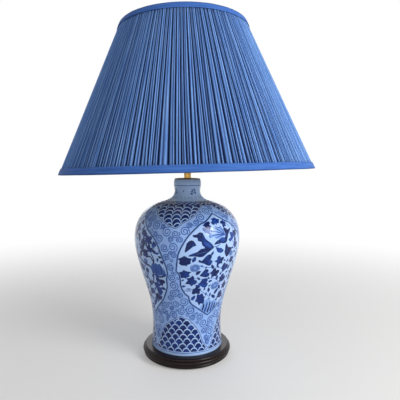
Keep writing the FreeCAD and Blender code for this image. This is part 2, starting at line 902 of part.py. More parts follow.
def bulb_filament():
    """The two support wires and the coil between them, drawn as one bent wire."""
    low = bulb_bottom + bulb_base_length + bulb_stem_length
    foot = Vector(0, 0, low)
    half = bulb_filament_width / 2
    high = low + bulb_filament_rise
    left = Vector(-half, 0, high)
    right = Vector(half, 0, high)
    across = Part.makeCylinder(bulb_filament_radius, 2 * half, left, Vector(1, 0, 0))
    for end in (left, right):
        reach = end - foot
        wire = Part.makeCylinder(bulb_filament_radius / 2, reach.Length, foot, reach)
        across = across.fuse(wire)
    return across


# ---- shade --------------------------------------------------------------------------------
def wall_radius(height, inset):
    """The radius of one layer of the shade's wall at a height."""
    share = (height - shade_bottom) / shade_height
    outermost = shade_bottom_radius + (shade_top_radius - shade_bottom_radius) * share
    return outermost - inset / math.cos(shade_slope)


def wall_point(height, inset):
    """A point of an outline, on one layer of the shade's wall."""
    return (wall_radius(height, inset), height)


def wall_band(low, high, outer, inner):
    """A conical band of the shade's wall between two heights and two layers."""
    return leaned(turned(
        wall_point(low, outer),
        wall_point(high, outer),
        wall_point(high, inner),
        wall_point(low, inner),
    ))


ring_bottom = shade_bottom + trim_thickness + soft_gap + ring_wire_radius
ring_top = shade_top - trim_thickness - soft_gap - ring_wire_radius
cloth_bottom = shade_bottom + trim_thickness + soft_gap
cloth_top = shade_top - trim_thickness - soft_gap
lining_top = ring_top - spider_wire_radius - soft_gap


def ring(height):
    """One round wire ring of the shade's frame, upright."""
    radius = wall_radius(height, wire_middle)
    return Part.makeTorus(radius, ring_wire_radius, Vector(0, 0, height), UP)


def shade_ribs():
    """The straight wires from ring to ring, butted against both."""
    rings = ring(ring_bottom).fuse(ring(ring_top))
    ribs = []
    for k in range(rib_count):
        angle = 2 * math.pi * (k + 0.5) / rib_count
        outward = Vector(math.cos(angle), math.sin(angle), 0)
        foot = outward * wall_radius(ring_bottom, wire_middle) + UP * ring_bottom
        head = outward * wall_radius(ring_top, wire_middle) + UP * ring_top
        along = head - foot
        ribs.append(Part.makeCylinder(rib_radius, along.Length, foot, along).cut(rings))
    return leaned(Part.makeCompound([rib.Solids[0] for rib in ribs]))


def spider_arm(angle):
    """One arm of the spider: level at the washer, then sloping up, then level to the ring."""
    low = washer_bottom + spider_washer_thickness / 2
    reach = wall_radius(ring_top, wire_middle)
    path = bent_path(
        [
            Vector(stud_radius + spider_washer_radius / 2, 0, low),
            Vector(spider_inner_run, 0, low),
            Vector(reach - spider_outer_run, 0, ring_top),
            Vector(reach, 0, ring_top),
        ],
        [spider_bend, spider_bend],
    )
    arm = wire_solid(path, spider_wire_radius, Vector(1, 0, 0))
    arm.rotate(Vector(0, 0, 0), UP, math.degrees(angle))
    return arm


def shade_spider():
    """The washer that the finial clamps and the arms that carry the top ring."""
    body = rod(spider_washer_radius, washer_bottom, washer_top)
    for k in range(spider_arm_count):
        body = body.fuse(spider_arm(math.pi / 2 + 2 * math.pi * k / spider_arm_count))
    flat = rod(seat_radius + spider_wire_radius, washer_bottom - spider_wire_radius, washer_bottom)
    crown = rod(seat_radius + spider_wire_radius, washer_top, washer_top + spider_wire_radius)
    hole = rod(stud_radius + slip_gap, washer_bottom, washer_top)
    return leaned(body.cut(flat).cut(crown).cut(hole).cut(ring(ring_top)))


def pleat_angle(number):
    """The direction of a pleat's line: evenly spaced, with a small uneven drift."""
    turn = 2 * math.pi * number / pleat_count
    wave = math.sin(pleat_drift_waves * turn + math.sin(pleat_drift_ripples * turn))
    return turn + pleat_drift * 2 * math.pi / pleat_count * wave


def pleat_corners(height, ridge):
    """The corners of the pleated outline at a height: valley, then both edges of the ridge."""
    valley = ridge * (1 - pleat_depth / wall_radius(cloth_bottom, cover_inset))
    corners = []
    for number in range(pleat_count):
        start = pleat_angle(number)
        width = pleat_angle(number + 1) - start
        for share, radius in ((0.0, valley), (pleat_flank, ridge), (1 - pleat_flank, ridge)):
            angle = start + share * width
            corners.append(Vector(radius * math.cos(angle), radius * math.sin(angle), height))
    return corners


def shade_cover():
    """The pleated cover: flat-topped pleats that narrow towards the top edge."""
    low = pleat_corners(cloth_bottom, wall_radius(cloth_bottom, cover_inset))
    high = pleat_corners(cloth_top, wall_radius(cloth_top, cover_inset))
    faces = []
    for k in range(len(low)):
        after = (k + 1) % len(low)
        loop = [low[k], low[after], high[after], high[k], low[k]]
        faces.append(Part.Face(Part.makePolygon(loop)))
    for corners in (low, high):
        faces.append(Part.Face(Part.makePolygon(corners + [corners[0]])))
    shell = Part.makeShell(faces)
    shell.sewShape()
    hollow = Part.makeCone(
        wall_radius(cloth_bottom, cover_back),
        wall_radius(cloth_top, cover_back),
        cloth_top - cloth_bottom,
        Vector(0, 0, cloth_bottom),
    )
    return leaned(Part.Solid(shell).cut(hollow))


def shade_lining():
    """The plain lining stretched inside the frame."""
    return wall_band(cloth_bottom, lining_top, lining_inset, lining_back)


def shade_bottom_trim():
    """The band of the same cloth that wraps the bottom edge, outside and in."""
    edge = shade_bottom
    web = shade_bottom + trim_thickness
    outer_top = shade_bottom + trim_bottom_height
    inner_top = shade_bottom + trim_inner_height
    return leaned(turned(
        wall_point(edge, 0),
        wall_point(outer_top, 0),
        wall_point(outer_top, trim_thickness),
        wall_point(web, trim_thickness),
        wall_point(web, trim_leg_inset),
        wall_point(inner_top, trim_leg_inset),
        wall_point(inner_top, trim_leg_back),
        wall_point(edge, trim_leg_back),
    ))


def shade_top_trim():
    """The band that wraps the top edge and the top ring."""
    edge = shade_top
    web = shade_top - trim_thickness
    outer_bottom = shade_top - trim_top_height
    return leaned(turned(
        wall_point(edge, 0),
        wall_point(outer_bottom, 0),
        wall_point(outer_bottom, trim_thickness),
        wall_point(web, trim_thickness),
        wall_point(web, lining_back),
        wall_point(edge, lining_back),
    ))


# ---- every node ---------------------------------------------------------------------------
os.makedirs("parts", exist_ok=True)
save(felt_pad(), "felt_pad")
save(wooden_base(), "wooden_base")
save(cord_bushing(), "cord_bushing")
save(base_washer(), "base_washer")
save(base_locknut(), "base_locknut")
save(vase(), "vase")
save(threaded_pipe(), "threaded_pipe")
save(vase_cap(), "vase_cap")
save(neck_tube(), "neck_tube")
save(harp_saddle(), "harp_saddle")
save(ferrule(-1), "ferrule_left")
save(ferrule(1), "ferrule_right")
save(harp(), "harp")
save(swivel_seat(), "swivel_seat")
save(swivel_stud(), "swivel_stud")
save(finial(), "finial")
save(socket_cap(), "socket_cap")
save(set_screw_rod(set_screw_length), "socket_set_screw")
save(socket_shell(), "socket_shell")
save(insulating_sleeve(), "insulating_sleeve")
save(socket_insulator(), "socket_insulator")
save(terminal_screws(), "terminal_screws")
save(screw_shell(), "screw_shell")
save(centre_contact(), "centre_contact")
save(switch_shaft(), "switch_shaft")
save(switch_knob(), "switch_knob")
save(bulb_glass(), "bulb_glass")
save(bulb_base(), "bulb_base")
save(bulb_insulator(), "bulb_insulator")
save(bulb_tip(), "bulb_tip")
save(bulb_stem(), "bulb_stem")
save(bulb_filament(), "bulb_filament")
save(leaned(ring(ring_top)), "shade_top_ring")
save(leaned(ring(ring_bottom)), "shade_bottom_ring")
save(shade_ribs(), "shade_ribs")
save(shade_spider(), "shade_spider")
save(shade_cover(), "shade_cover")
save(shade_lining(), "shade_lining")
save(shade_bottom_trim(), "shade_bottom_trim")
save(shade_top_trim(), "shade_top_trim")
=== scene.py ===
import bisect
import logging
import math
import random
from collections.abc import Callable, Iterable
from dataclasses import dataclass, field
from enum import Enum

import bmesh
import bpy
from mathutils import Matrix, Vector, noise
from mathutils.geometry import delaunay_2d_cdt
from mathutils.kdtree import KDTree


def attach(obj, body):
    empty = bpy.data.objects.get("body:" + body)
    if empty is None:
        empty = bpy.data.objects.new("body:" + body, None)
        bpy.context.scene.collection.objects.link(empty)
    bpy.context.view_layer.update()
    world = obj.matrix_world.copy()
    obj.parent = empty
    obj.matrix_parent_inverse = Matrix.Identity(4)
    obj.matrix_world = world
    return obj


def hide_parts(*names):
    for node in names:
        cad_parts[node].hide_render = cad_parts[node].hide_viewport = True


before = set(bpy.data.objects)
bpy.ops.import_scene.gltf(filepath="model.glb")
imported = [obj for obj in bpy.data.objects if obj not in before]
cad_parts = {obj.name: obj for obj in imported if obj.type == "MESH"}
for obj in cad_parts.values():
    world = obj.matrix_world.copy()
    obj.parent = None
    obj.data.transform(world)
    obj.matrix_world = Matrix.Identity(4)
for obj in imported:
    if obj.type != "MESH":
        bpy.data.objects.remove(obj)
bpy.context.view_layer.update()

LOG = logging.getLogger("lamp")
MM = 0.001
TURN = 2 * math.pi
MERGE = 1e-6       # metres within which two corners of a mesh are one

Spot = tuple[float, float]
Spots = list[Spot] | tuple[Spot, ...]
Palette = dict[str, bpy.types.Material]


# ---- shared helpers -----------------------------------------------------------------------
def linear(hex_colour: str) -> tuple[float, float, float, float]:
    """Turn an sRGB hex colour to the linear values that a socket takes.

    Args:
        hex_colour: six hex digits, such as "2A4F8C".

    Returns:
        Linear red, green, blue and an alpha of 1.
    """
    parts = [int(hex_colour[k:k + 2], 16) / 255 for k in (0, 2, 4)]
    lin = [c / 12.92 if c <= 0.04045 else ((c + 0.055) / 1.055) ** 2.4 for c in parts]
    return (lin[0], lin[1], lin[2], 1.0)


def feed(node: bpy.types.Node, inputs: dict) -> None:
    """Set or link a node's sockets.

    Args:
        node: the node.
        inputs: socket name or number, to a value, to the socket that feeds it, or to the
            node whose first output does.
    """
    for key, value in inputs.items():
        if isinstance(value, bpy.types.Node):
            value = value.outputs[0]
        if isinstance(value, bpy.types.NodeSocket):
            node.id_data.links.new(value, node.inputs[key])
        else:
            node.inputs[key].default_value = value


def add(tree: bpy.types.NodeTree, kind: str, inputs: dict | None = None, ramp: tuple = (),
        **settings) -> bpy.types.Node:
    """Add a node with its settings, its values and its links.

    Args:
        tree: the node tree.
        kind: the node's class name without "ShaderNode".
        inputs: what feeds its sockets.
        ramp: the place and the hex colour of each stop of a colour ramp.
        settings: properties of the node.

    Returns:
        The new node.
    """
    node = tree.nodes.new("ShaderNode" + kind)
    for key, value in settings.items():
        setattr(node, key, value)
    if ramp:
        stops = node.color_ramp.elements
        while len(stops) < len(ramp):
            stops.new(0.5)
        for stop, (place, colour) in zip(stops, ramp):
            stop.position, stop.color = place, linear(colour)
    feed(node, inputs or {})
    return node


def per_metre(size_mm: float) -> float:
    """The scale at which one unit of a pattern has that size."""
    return 1000.0 / size_mm


def lerp(a: float, b: float, share: float) -> float:
    """The value at a share of the way from a to b."""
    return a + (b - a) * share


def smooth_step(low: float, high: float, value: float) -> float:
    """Ease from 0 at low to 1 at high."""
    share = min(1.0, max(0.0, (value - low) / (high - low)))
    return share * share * (3 - 2 * share)


def rounded(points: list[Spot], steps: int, closed: bool) -> list[Spot]:
    """Run a smooth Catmull-Rom curve through points.

    Args:
        points: the points to pass.
        steps: pieces between two points.
        closed: whether the curve runs back to its start.

    Returns:
        The points of the curve.
    """
    count = len(points)
    result = []
    for k in range(count if closed else count - 1):
        if closed:
            p = [points[(k + d) % count] for d in (-1, 0, 1, 2)]
        else:
            p = [points[min(count - 1, max(0, k + d))] for d in (-1, 0, 1, 2)]
        for step in range(steps):
            t = step / steps
            result.append(tuple(
                0.5 * (2 * b + (c - a) * t + (2 * a - 5 * b + 4 * c - d) * t * t
                       + (3 * b - a - 3 * c + d) * t ** 3)
                for a, b, c, d in zip(*p)
            ))
    if not closed:
        result.append(points[-1])
    return result


def stand(name: str, data: bpy.types.ID) -> bpy.types.Object:
    """A new object of the scene.

    Args:
        name: its name.
        data: the mesh, lamp or camera that it shows.

    Returns:
        The object.
    """
    thing = bpy.data.objects.new(name, data)
    bpy.context.scene.collection.objects.link(thing)
    return thing


def mesh_of(name: str, work: bmesh.types.BMesh) -> bpy.types.Mesh:
    """The mesh of a work that is done, which is freed.

    Args:
        name: the mesh's name.
        work: the work.

    Returns:
        The mesh.
    """
    mesh = bpy.data.meshes.new(name)
    work.to_mesh(mesh)
    work.free()
    return mesh


def finish_piece(name: str, work: bmesh.types.BMesh, body: str, replaced: str,
                 materials: list[bpy.types.Material], thick: float = 0.0) -> bpy.types.Object:
    """Turn a worked mesh into a piece of the lamp that rides on a body.

    Args:
        name: the piece's name.
        work: the mesh in metres, already in its place.
        body: the CAD body it moves with.
        replaced: the CAD node that it stands for.
        materials: its materials, in slot order.
        thick: the thickness that a sheet gets on its inner side, in metres.

    Returns:
        The new object.
    """
    work.normal_update()
    mesh = mesh_of(name, work)
    for material in materials:
        mesh.materials.append(material)
    mesh.shade_smooth()
    piece = stand(name, mesh)
    if thick:
        skin = piece.modifiers.new("cloth_thickness", "SOLIDIFY")
        skin.thickness, skin.offset = thick, -1.0
    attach(piece, body)
    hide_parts(replaced)
    LOG.info("%s: %d faces on %s", name, len(mesh.polygons), body)
    return piece


def spun(work: bmesh.types.BMesh, profile: Iterable[Spot], steps: int) -> None:
    """Spin a profile once round the upright axis.

    Args:
        work: the mesh that gets the surface.
        profile: places as y and z, in metres.
        steps: how many there are to the turn.
    """
    chain = [work.verts.new((0, y, z)) for y, z in profile]
    edges = [work.edges.new(pair) for pair in zip(chain, chain[1:])]
    bmesh.ops.spin(work, geom=chain + edges, cent=(0, 0, 0), axis=(0, 0, 1), angle=TURN,
                   steps=steps, use_merge=True, dvec=(0, 0, 0))


def unroll(faces: Iterable[bmesh.types.BMFace], layer: bmesh.types.BMLayerItem,
           place: Callable[[float, Vector], Spot]) -> None:
    """Map faces that stand round the axis, with no face stretched across the seam.

    Args:
        faces: the faces.
        layer: the UV layer.
        place: gives u and v for a share of the turn and a corner.
    """
    for face in faces:
        middle = face.calc_center_median()
        around = math.atan2(middle.x, -middle.y)
        for loop in face.loops:
            co = loop.vert.co
            angle = math.atan2(co.x, -co.y)
            angle += TURN * round((around - angle) / TURN)
            loop[layer].uv = place(angle / TURN, co)


# ---- finishes -----------------------------------------------------------------------------
class Space(Enum):
    """Where a pattern takes its coordinates from."""

    OBJECT = "Object"
    UV = "UV"


@dataclass(frozen=True)
class Finish:
    """What all finishes share.

    The subclasses say what the real material is, how its surface was made and what that
    gives the eye.
    """

    name: str
    roughness: float = 0.5
    metallic: float = 0.0
    space: Space = Space.OBJECT

    def build(self) -> bpy.types.Material:
        """Make the material.

        Returns:
            The material.
        """
        material = bpy.data.materials.new(self.name)
        material.use_nodes = True
        tree = material.node_tree
        shader = tree.nodes["Principled BSDF"]
        feed(shader, {"Roughness": self.roughness, "Metallic": self.metallic})
        feed(shader, self.sockets(tree, add(tree, "TexCoord").outputs[self.space.value]))
        return material

    def sockets(self, tree: bpy.types.NodeTree, place: bpy.types.NodeSocket) -> dict:
        """What else feeds the shader.

        Args:
            tree: the material's node tree.
            place: the coordinates of its patterns, in metres.

        Returns:
            The inputs by the name of the shader's socket.
        """
        raise NotImplementedError


@dataclass(frozen=True)
class GlazedPorcelain(Finish):
    """Porcelain, thrown, painted by brush in cobalt and fired under a clear glaze.

    The brush leaves darker pools and paler sweeps, and the glaze over them is wet looking
    with a faint orange peel. The attribute `ink` is the load of cobalt, from 0 to 1.
    """

    white: str = "A8C6F2"
    wash: str = "7CA2DE"
    line: str = "3A60AC"
    blue: str = "163F92"
    navy: str = "041B56"
    sweep_mm: float = 9.0
    cloud_mm: float = 45.0
    peel_mm: float = 2.4

    def sockets(self, tree: bpy.types.NodeTree, place: bpy.types.NodeSocket) -> dict:
        """Cobalt by its load, in a body with faint clouds, under the glaze.

        Args:
            tree: the material's node tree.
            place: the coordinates of its patterns, in metres.

        Returns:
            The inputs by the name of the shader's socket.
        """
        sweep = add(tree, "TexNoise", {
            "Vector": place, "Scale": per_metre(self.sweep_mm), "Detail": 4.0,
            "Roughness": 0.62,
        })
        swing = add(tree, "MapRange", {
            "Value": sweep, "From Min": 0.28, "From Max": 0.72, "To Min": 0.74, "To Max": 1.12,
        })
        ink = add(tree, "Attribute", attribute_name="ink").outputs["Fac"]
        load = add(tree, "Math", {0: ink, 1: swing}, operation="MULTIPLY")
        tint = add(tree, "ValToRGB", {"Fac": load}, (
            (0.0, self.white), (0.22, self.wash), (0.46, self.line), (0.7, self.blue),
            (0.95, self.navy),
        ))
        cloud = add(tree, "TexNoise", {
            "Vector": place, "Scale": per_metre(self.cloud_mm), "Detail": 2.0,
        })
        shade = add(tree, "MapRange", {"Value": cloud, "To Min": 0.93, "To Max": 1.05})
        peel = add(tree, "TexNoise", {"Vector": place, "Scale": per_metre(self.peel_mm)})
        return {
            "Base Color": add(tree, "Mix", {0: 1.0, 6: tint, 7: shade}, data_type="RGBA",
                              blend_type="MULTIPLY").outputs[2],
            "Normal": add(tree, "Bump", {
                "Height": peel, "Distance": 0.00003, "Strength": 0.35,
            }),
            "Specular IOR Level": 0.22, "Coat Weight": 0.12, "Coat Roughness": 0.06,
            "Subsurface Weight": 0.06, "Subsurface Scale": 0.002,
        }


@dataclass(frozen=True)
class Mottled(Finish):
    """A plain finish with its cloudy colour, its fine grit and its small wear.

    Used for card, felt, moulded plastic, biscuit porcelain and glass, which differ in
    colour, in the size of their grain and in how rough that grain is.
    """

    low: str = "808080"
    high: str = "909090"
    cloud_mm: float = 8.0
    grain_mm: float = 0.8
    grain_depth_mm: float = 0.05
    sheen: float = 0.0
    coat: float = 0.0
    transmission: float = 0.0

    def sockets(self, tree: bpy.types.NodeTree, place: bpy.types.NodeSocket) -> dict:
        """Clouds in the colour, grit in the roughness and the height.

        Args:
            tree: the material's node tree.
            place: the coordinates of its patterns, in metres.

        Returns:
            The inputs by the name of the shader's socket.
        """
        cloud = add(tree, "TexNoise", {
            "Vector": place, "Scale": per_metre(self.cloud_mm), "Detail": 5.0,
            "Roughness": 0.6,
        })
        grit = add(tree, "TexNoise", {
            "Vector": place, "Scale": per_metre(self.grain_mm), "Detail": 3.0,
        })
        return {
            "Base Color": add(tree, "ValToRGB", {"Fac": cloud},
                              ((0.3, self.low), (0.7, self.high))),
            "Roughness": add(tree, "MapRange", {
                "Value": grit, "To Min": self.roughness - 0.08, "To Max": self.roughness + 0.08,
            }),
            "Normal": add(tree, "Bump", {
                "Height": grit, "Distance": self.grain_depth_mm * MM, "Strength": 0.8,
            }),
            "Sheen Weight": self.sheen, "Sheen Roughness": 0.5, "Coat Weight": self.coat,
            "Transmission Weight": self.transmission,
        }


@dataclass(frozen=True)
class DrawnMetal(Finish):
    """Sheet, rod or turned metal with fine tool lines round its axis and faint tarnish.

    Brass goes browner where it isn't handled, and steel greyer. The lines run round the
    upright axis, as spinning and polishing leave them.
    """

    metallic: float = 1.0
    bright: str = "D9B066"
    dull: str = "8A6A3A"
    patch_mm: float = 6.0
    lines_mm: tuple[float, float, float] = (60.0, 60.0, 0.35)

    def sockets(self, tree: bpy.types.NodeTree, place: bpy.types.NodeSocket) -> dict:
        """Tarnish in the colour and the roughness, tool lines in the height.

        Args:
            tree: the material's node tree.
            place: the coordinates of its patterns, in metres.

        Returns:
            The inputs by the name of the shader's socket.
        """
        patch = add(tree, "TexNoise", {
            "Vector": place, "Scale": per_metre(self.patch_mm), "Detail": 6.0,
            "Roughness": 0.65,
        })
        across = add(tree, "Mapping", {
            "Vector": place, "Scale": [per_metre(size) for size in self.lines_mm],
        })
        lines = add(tree, "TexNoise", {"Vector": across, "Scale": 1.0, "Detail": 2.0})
        return {
            "Base Color": add(tree, "ValToRGB", {"Fac": patch},
                              ((0.35, self.dull), (0.7, self.bright))),
            "Roughness": add(tree, "MapRange", {
                "Value": patch, "From Min": 0.3, "From Max": 0.7,
                "To Min": self.roughness + 0.12, "To Max": self.roughness - 0.04,
            }),
            "Normal": add(tree, "Bump", {
                "Height": lines, "Distance": 0.00001, "Strength": 0.5,
            }),
        }


@dataclass(frozen=True)
class LacqueredMahogany(Finish):
    """Mahogany, turned on a lathe, stained nearly black-brown and lacquered.

    The grain runs straight across the base with short dark pores, and the lacquer gives it
    a clear sheen on the beads.
    """

    dark: str = "0B0507"
    light: str = "21100D"
    grain_mm: tuple[float, float, float] = (60.0, 2.6, 5.2)
    pores_mm: tuple[float, float, float] = (9.0, 0.7, 0.7)

    def sockets(self, tree: bpy.types.NodeTree, place: bpy.types.NodeSocket) -> dict:
        """Grain and pores in the colour, pores in the height, under the lacquer.

        Args:
            tree: the material's node tree.
            place: the coordinates of its patterns, in metres.

        Returns:
            The inputs by the name of the shader's socket.
        """
        along, short = (
            add(tree, "Mapping", {"Vector": place, "Scale": [per_metre(s) for s in sizes]})
            for sizes in (self.grain_mm, self.pores_mm))
        grain = add(tree, "TexNoise", {
            "Vector": along, "Scale": 1.0, "Detail": 5.0, "Roughness": 0.6, "Distortion": 0.4,
        })
        tint = add(tree, "ValToRGB", {"Fac": grain}, ((0.32, self.dark), (0.72, self.light)))
        pores = add(tree, "TexNoise", {"Vector": short, "Scale": 1.0, "Detail": 1.0})
        cut = add(tree, "MapRange", {
            "Value": pores, "From Min": 0.34, "From Max": 0.46, "To Min": 0.45, "To Max": 1.0,
        })
        return {
            "Base Color": add(tree, "Mix", {0: 1.0, 6: tint, 7: cut}, data_type="RGBA",
                              blend_type="MULTIPLY").outputs[2],
            "Normal": add(tree, "Bump", {
                "Height": pores, "Distance": 0.00006, "Strength": 0.35,
            }),
            "Specular IOR Level": 0.12, "Coat Weight": 0.14, "Coat Roughness": 0.14,
        }


@dataclass(frozen=True)
class WovenCloth(Finish):
    """Plain woven cotton and silk blend, dyed in the piece.

    Slubs run along the threads, the weave catches the light as a fine check, and the fuzz
    brightens the edges. The piece's UV map is in metres, u along the weft, and its
    attribute `fold`, from 0 to 1, mixes painted shade into the colour: a dark navy where
    a place lies deep in a fold.
    """

    space: Space = Space.UV
    deep: str = "5486D6"
    bright: str = "92BEFA"
    # the dark navy that the fold attribute mixes in as painted shade deep in folds
    fold_shade: str = "021344"
    thread_mm: float = 0.9      # real threads are 0.3 mm, which the picture can't show
    slub_mm: tuple[float, float, float] = (1.6, 60.0, 1.0)
    sheen: float = 0.12

    def sockets(self, tree: bpy.types.NodeTree, place: bpy.types.NodeSocket) -> dict:
        """Slubs and painted fold shade in the colour, both sets of threads in the height.

        Args:
            tree: the material's node tree.
            place: the coordinates of its patterns, in metres.

        Returns:
            The inputs by the name of the shader's socket.
        """
        along = add(tree, "Mapping", {
            "Vector": place, "Scale": [per_metre(size) for size in self.slub_mm],
        })
        slub = add(tree, "TexNoise", {
            "Vector": along, "Scale": 1.0, "Detail": 4.0, "Roughness": 0.6,
        })
        tint = add(tree, "ValToRGB", {"Fac": slub}, ((0.3, self.deep), (0.7, self.bright)))
        fold = add(tree, "Attribute", attribute_name="fold").outputs["Fac"]
        warp, weft = (add(tree, "TexWave", {
            "Vector": place, "Scale": per_metre(self.thread_mm) / TURN * 2,
            "Distortion": 0.6, "Detail": 1.0,
        }, wave_type="BANDS", bands_direction=axis).outputs["Fac"] for axis in "XY")
        weave = add(tree, "Math", {0: warp, 1: weft}, operation="ADD")
        return {
            # painted shade: the fold attribute darkens the cloth towards dark navy in its folds
            "Base Color": add(tree, "Mix", {0: fold, 6: tint, 7: linear(self.fold_shade)},
                              data_type="RGBA").outputs[2],
            "Normal": add(tree, "Bump", {
                "Height": weave, "Distance": 0.00006, "Strength": 0.6,
            }),
            "Specular IOR Level": 0.12, "Sheen Weight": self.sheen, "Sheen Roughness": 0.4,
        }


# The finish of each material slot of the record, and of the foot ring and the edge bands.
FINISHES: dict[str, Finish] = {
    "porcelain": GlazedPorcelain("cobalt_painted_porcelain", 0.16),
    "biscuit": Mottled("biscuit_porcelain_ground_foot", 0.75, low="C9BFAE", high="DAD3C6",
                       cloud_mm=6, grain_mm=0.5),
    "mahogany": LacqueredMahogany("lacquered_turned_mahogany", 0.34),
    "antique_brass": DrawnMetal("antique_spun_brass", 0.34, bright="76562A", dull="3A2813"),
    "polished_brass": DrawnMetal("polished_drawn_brass", 0.16, bright="E3B768", dull="A9803F"),
    "brass_plate": DrawnMetal("brass_plated_spring_wire", 0.26, bright="D2AA63",
                              dull="8C6D3D", patch_mm=4),
    "steel": DrawnMetal("zinc_plated_steel_wire", 0.38, bright="B4B6B8", dull="7C7E80",
                        patch_mm=5),
    "aluminium_shell": DrawnMetal("rolled_aluminium_shell", 0.3, bright="CBCDD0",
                                  dull="9B9DA0", patch_mm=3),
    "black_plastic": Mottled("moulded_black_phenolic", 0.38, low="16151A", high="211F22",
                             cloud_mm=5, grain_mm=0.6, coat=0.15),
    "card": Mottled("pressed_grey_card", 0.85, low="6F6658", high="8B8171", cloud_mm=3,
                    grain_mm=0.4, grain_depth_mm=0.08),
    "felt": Mottled("needled_green_felt", 0.95, low="1F3A2B", high="2F5540", cloud_mm=2.5,
                    grain_mm=0.7, grain_depth_mm=0.25, sheen=0.5),
    "frosted_glass": Mottled("etched_white_bulb_glass", 0.42, low="E9E7E0", high="F4F3EE",
                             cloud_mm=20, grain_mm=0.9, grain_depth_mm=0.02, coat=0.1),
    "clear_glass": Mottled("drawn_clear_glass", 0.1, low="E6ECEA", high="F2F6F5", grain_mm=3,
                           grain_depth_mm=0.01, transmission=0.9),
    "blue_cloth": WovenCloth("pleated_blue_cloth", 0.72),
    "edge_band": WovenCloth("blue_cloth_edge_band", 0.72, slub_mm=(40.0, 1.4, 1.0),
                            deep="375FA8", bright="4775C2"),
    "lining_cloth": WovenCloth("ivory_lining_cloth", 0.8, deep="D8D2C2", bright="E9E4D6",
                               sheen=0.15),
}


# ---- porcelain vase -----------------------------------------------------------------------
class Wall:
    """The vase's outer outline as a smooth curve, measured along its length in mm."""

    FOOT = 17.0
    STATIONS = (
        (60.4, 1.6), (58.3, 28.0), (61.9, 74.0), (71.5, 109.0), (83.1, 148.0), (88.7, 190.0),
        (83.0, 213.0), (67.5, 232.3), (42.0, 245.6), (24.6, 253.4), (21.6, 262.5),
        (23.2, 274.5), (21.6, 281.5),
    )
    SAMPLES = 60

    def __init__(self) -> None:
        """Run a natural cubic curve through the stations and tabulate it."""
        points = [Vector((r, z + self.FOOT)) for r, z in self.STATIONS]
        knots = [0.0]
        for a, b in zip(points, points[1:]):
            knots.append(knots[-1] + (b - a).length)
        bends = [self._bends(knots, [p[axis] for p in points]) for axis in (0, 1)]
        self.lengths = [0.0]
        self.path = [points[0]]
        for k in range(len(points) - 1):
            width = knots[k + 1] - knots[k]
            for step in range(1, self.SAMPLES + 1):
                b = step / self.SAMPLES
                a = 1 - b
                here = []
                for axis in (0, 1):
                    curve = bends[axis]
                    value = a * points[k][axis] + b * points[k + 1][axis]
                    value += ((a ** 3 - a) * curve[k]
                              + (b ** 3 - b) * curve[k + 1]) * width ** 2 / 6
                    here.append(value)
                spot = Vector(here)
                self.lengths.append(self.lengths[-1] + (spot - self.path[-1]).length)
                self.path.append(spot)
        self.heights = [p.y for p in self.path]
        self.length = self.lengths[-1]

    @staticmethod
    def _bends(knots: list[float], values: list[float]) -> list[float]:
        """Second derivatives of the natural cubic curve through the values.

        Args:
            knots: the parameter at each value.
            values: the values.

        Returns:
            One second derivative for each value.
        """
        count = len(values)
        upper = [0.0] * count
        right = [0.0] * count
        for k in range(1, count - 1):
            before = knots[k] - knots[k - 1]
            after = knots[k + 1] - knots[k]
            slope = (values[k + 1] - values[k]) / after - (values[k] - values[k - 1]) / before
            pivot = 2 * (before + after) - before * upper[k - 1]
            upper[k] = after / pivot
            right[k] = (6 * slope - before * right[k - 1]) / pivot
        result = [0.0] * count
        for k in range(count - 2, 0, -1):
            result[k] = right[k] - upper[k] * result[k + 1]
        return result

    def at(self, s: float) -> tuple[float, float, Vector]:
        """The outline at a length.

        Args:
            s: the length from the foot, in mm.

        Returns:
            The radius, the height and the direction outwards, as radius and height.
        """
        k = min(len(self.path) - 2, max(0, bisect.bisect_right(self.lengths, s) - 1))
        share = (s - self.lengths[k]) / (self.lengths[k + 1] - self.lengths[k])
        spot = self.path[k].lerp(self.path[k + 1], share)
        before = self.path[max(0, k - 1)]
        after = self.path[min(len(self.path) - 1, k + 2)]
        along = (after - before).normalized()
        return spot.x, spot.y, Vector((along.y, -along.x))

    def up_to(self, height: float) -> float:
        """The length along the wall at a height above the ground, in mm.

        Args:
            height: the height.

        Returns:
            The length from the foot.
        """
        k = min(len(self.path) - 2, max(0, bisect.bisect_right(self.heights, height) - 1))
        share = (height - self.heights[k]) / (self.heights[k + 1] - self.heights[k])
        return lerp(self.lengths[k], self.lengths[k + 1], share)

    def in_space(self, azimuth: float, s: float, unit: float = 1.0) -> Vector:
        """Where a spot of the wall is in space, in mm times the unit.

        Args:
            azimuth: degrees round the vase.
            s: the length from the foot, in mm.
            unit: what a millimetre counts.

        Returns:
            The place.
        """
        radius, z, _ = self.at(s)
        angle = math.radians(azimuth)
        return Vector((radius * math.sin(angle) * unit, -radius * math.cos(angle) * unit,
                       z * unit))


class Ink(Enum):
    """How much cobalt a stroke carries."""

    BARE = 0.0
    WASH = 0.24
    PALE = 0.4
    LINE = 0.56
    BLUE = 0.74
    NAVY = 1.0


class Region:
    """A closed outline on the wall, with its test of what lies inside."""

    def __init__(self, outline: list[Spot]) -> None:
        """Keep the outline and its extent.

        Args:
            outline: its corners.
        """
        self.outline = outline
        self.low = (min(p[0] for p in outline), min(p[1] for p in outline))
        self.high = (max(p[0] for p in outline), max(p[1] for p in outline))

    def holds(self, spot: Spot) -> bool:
        """Whether a spot lies inside, on any turn round the vase.

        Args:
            spot: the spot.

        Returns:
            Whether it does.
        """
        for shift in (-360.0, 0.0, 360.0):
            x, y = spot[0] + shift, spot[1]
            if not (self.low[0] <= x <= self.high[0] and self.low[1] <= y <= self.high[1]):
                continue
            inside = False
            for (ax, ay), (bx, by) in zip(self.outline, self.outline[1:] + self.outline[:1]):
                if (ay > y) != (by > y) and x < (bx - ax) * (y - ay) / (by - ay) + ax:
                    inside = not inside
            if inside:
                return True
        return False


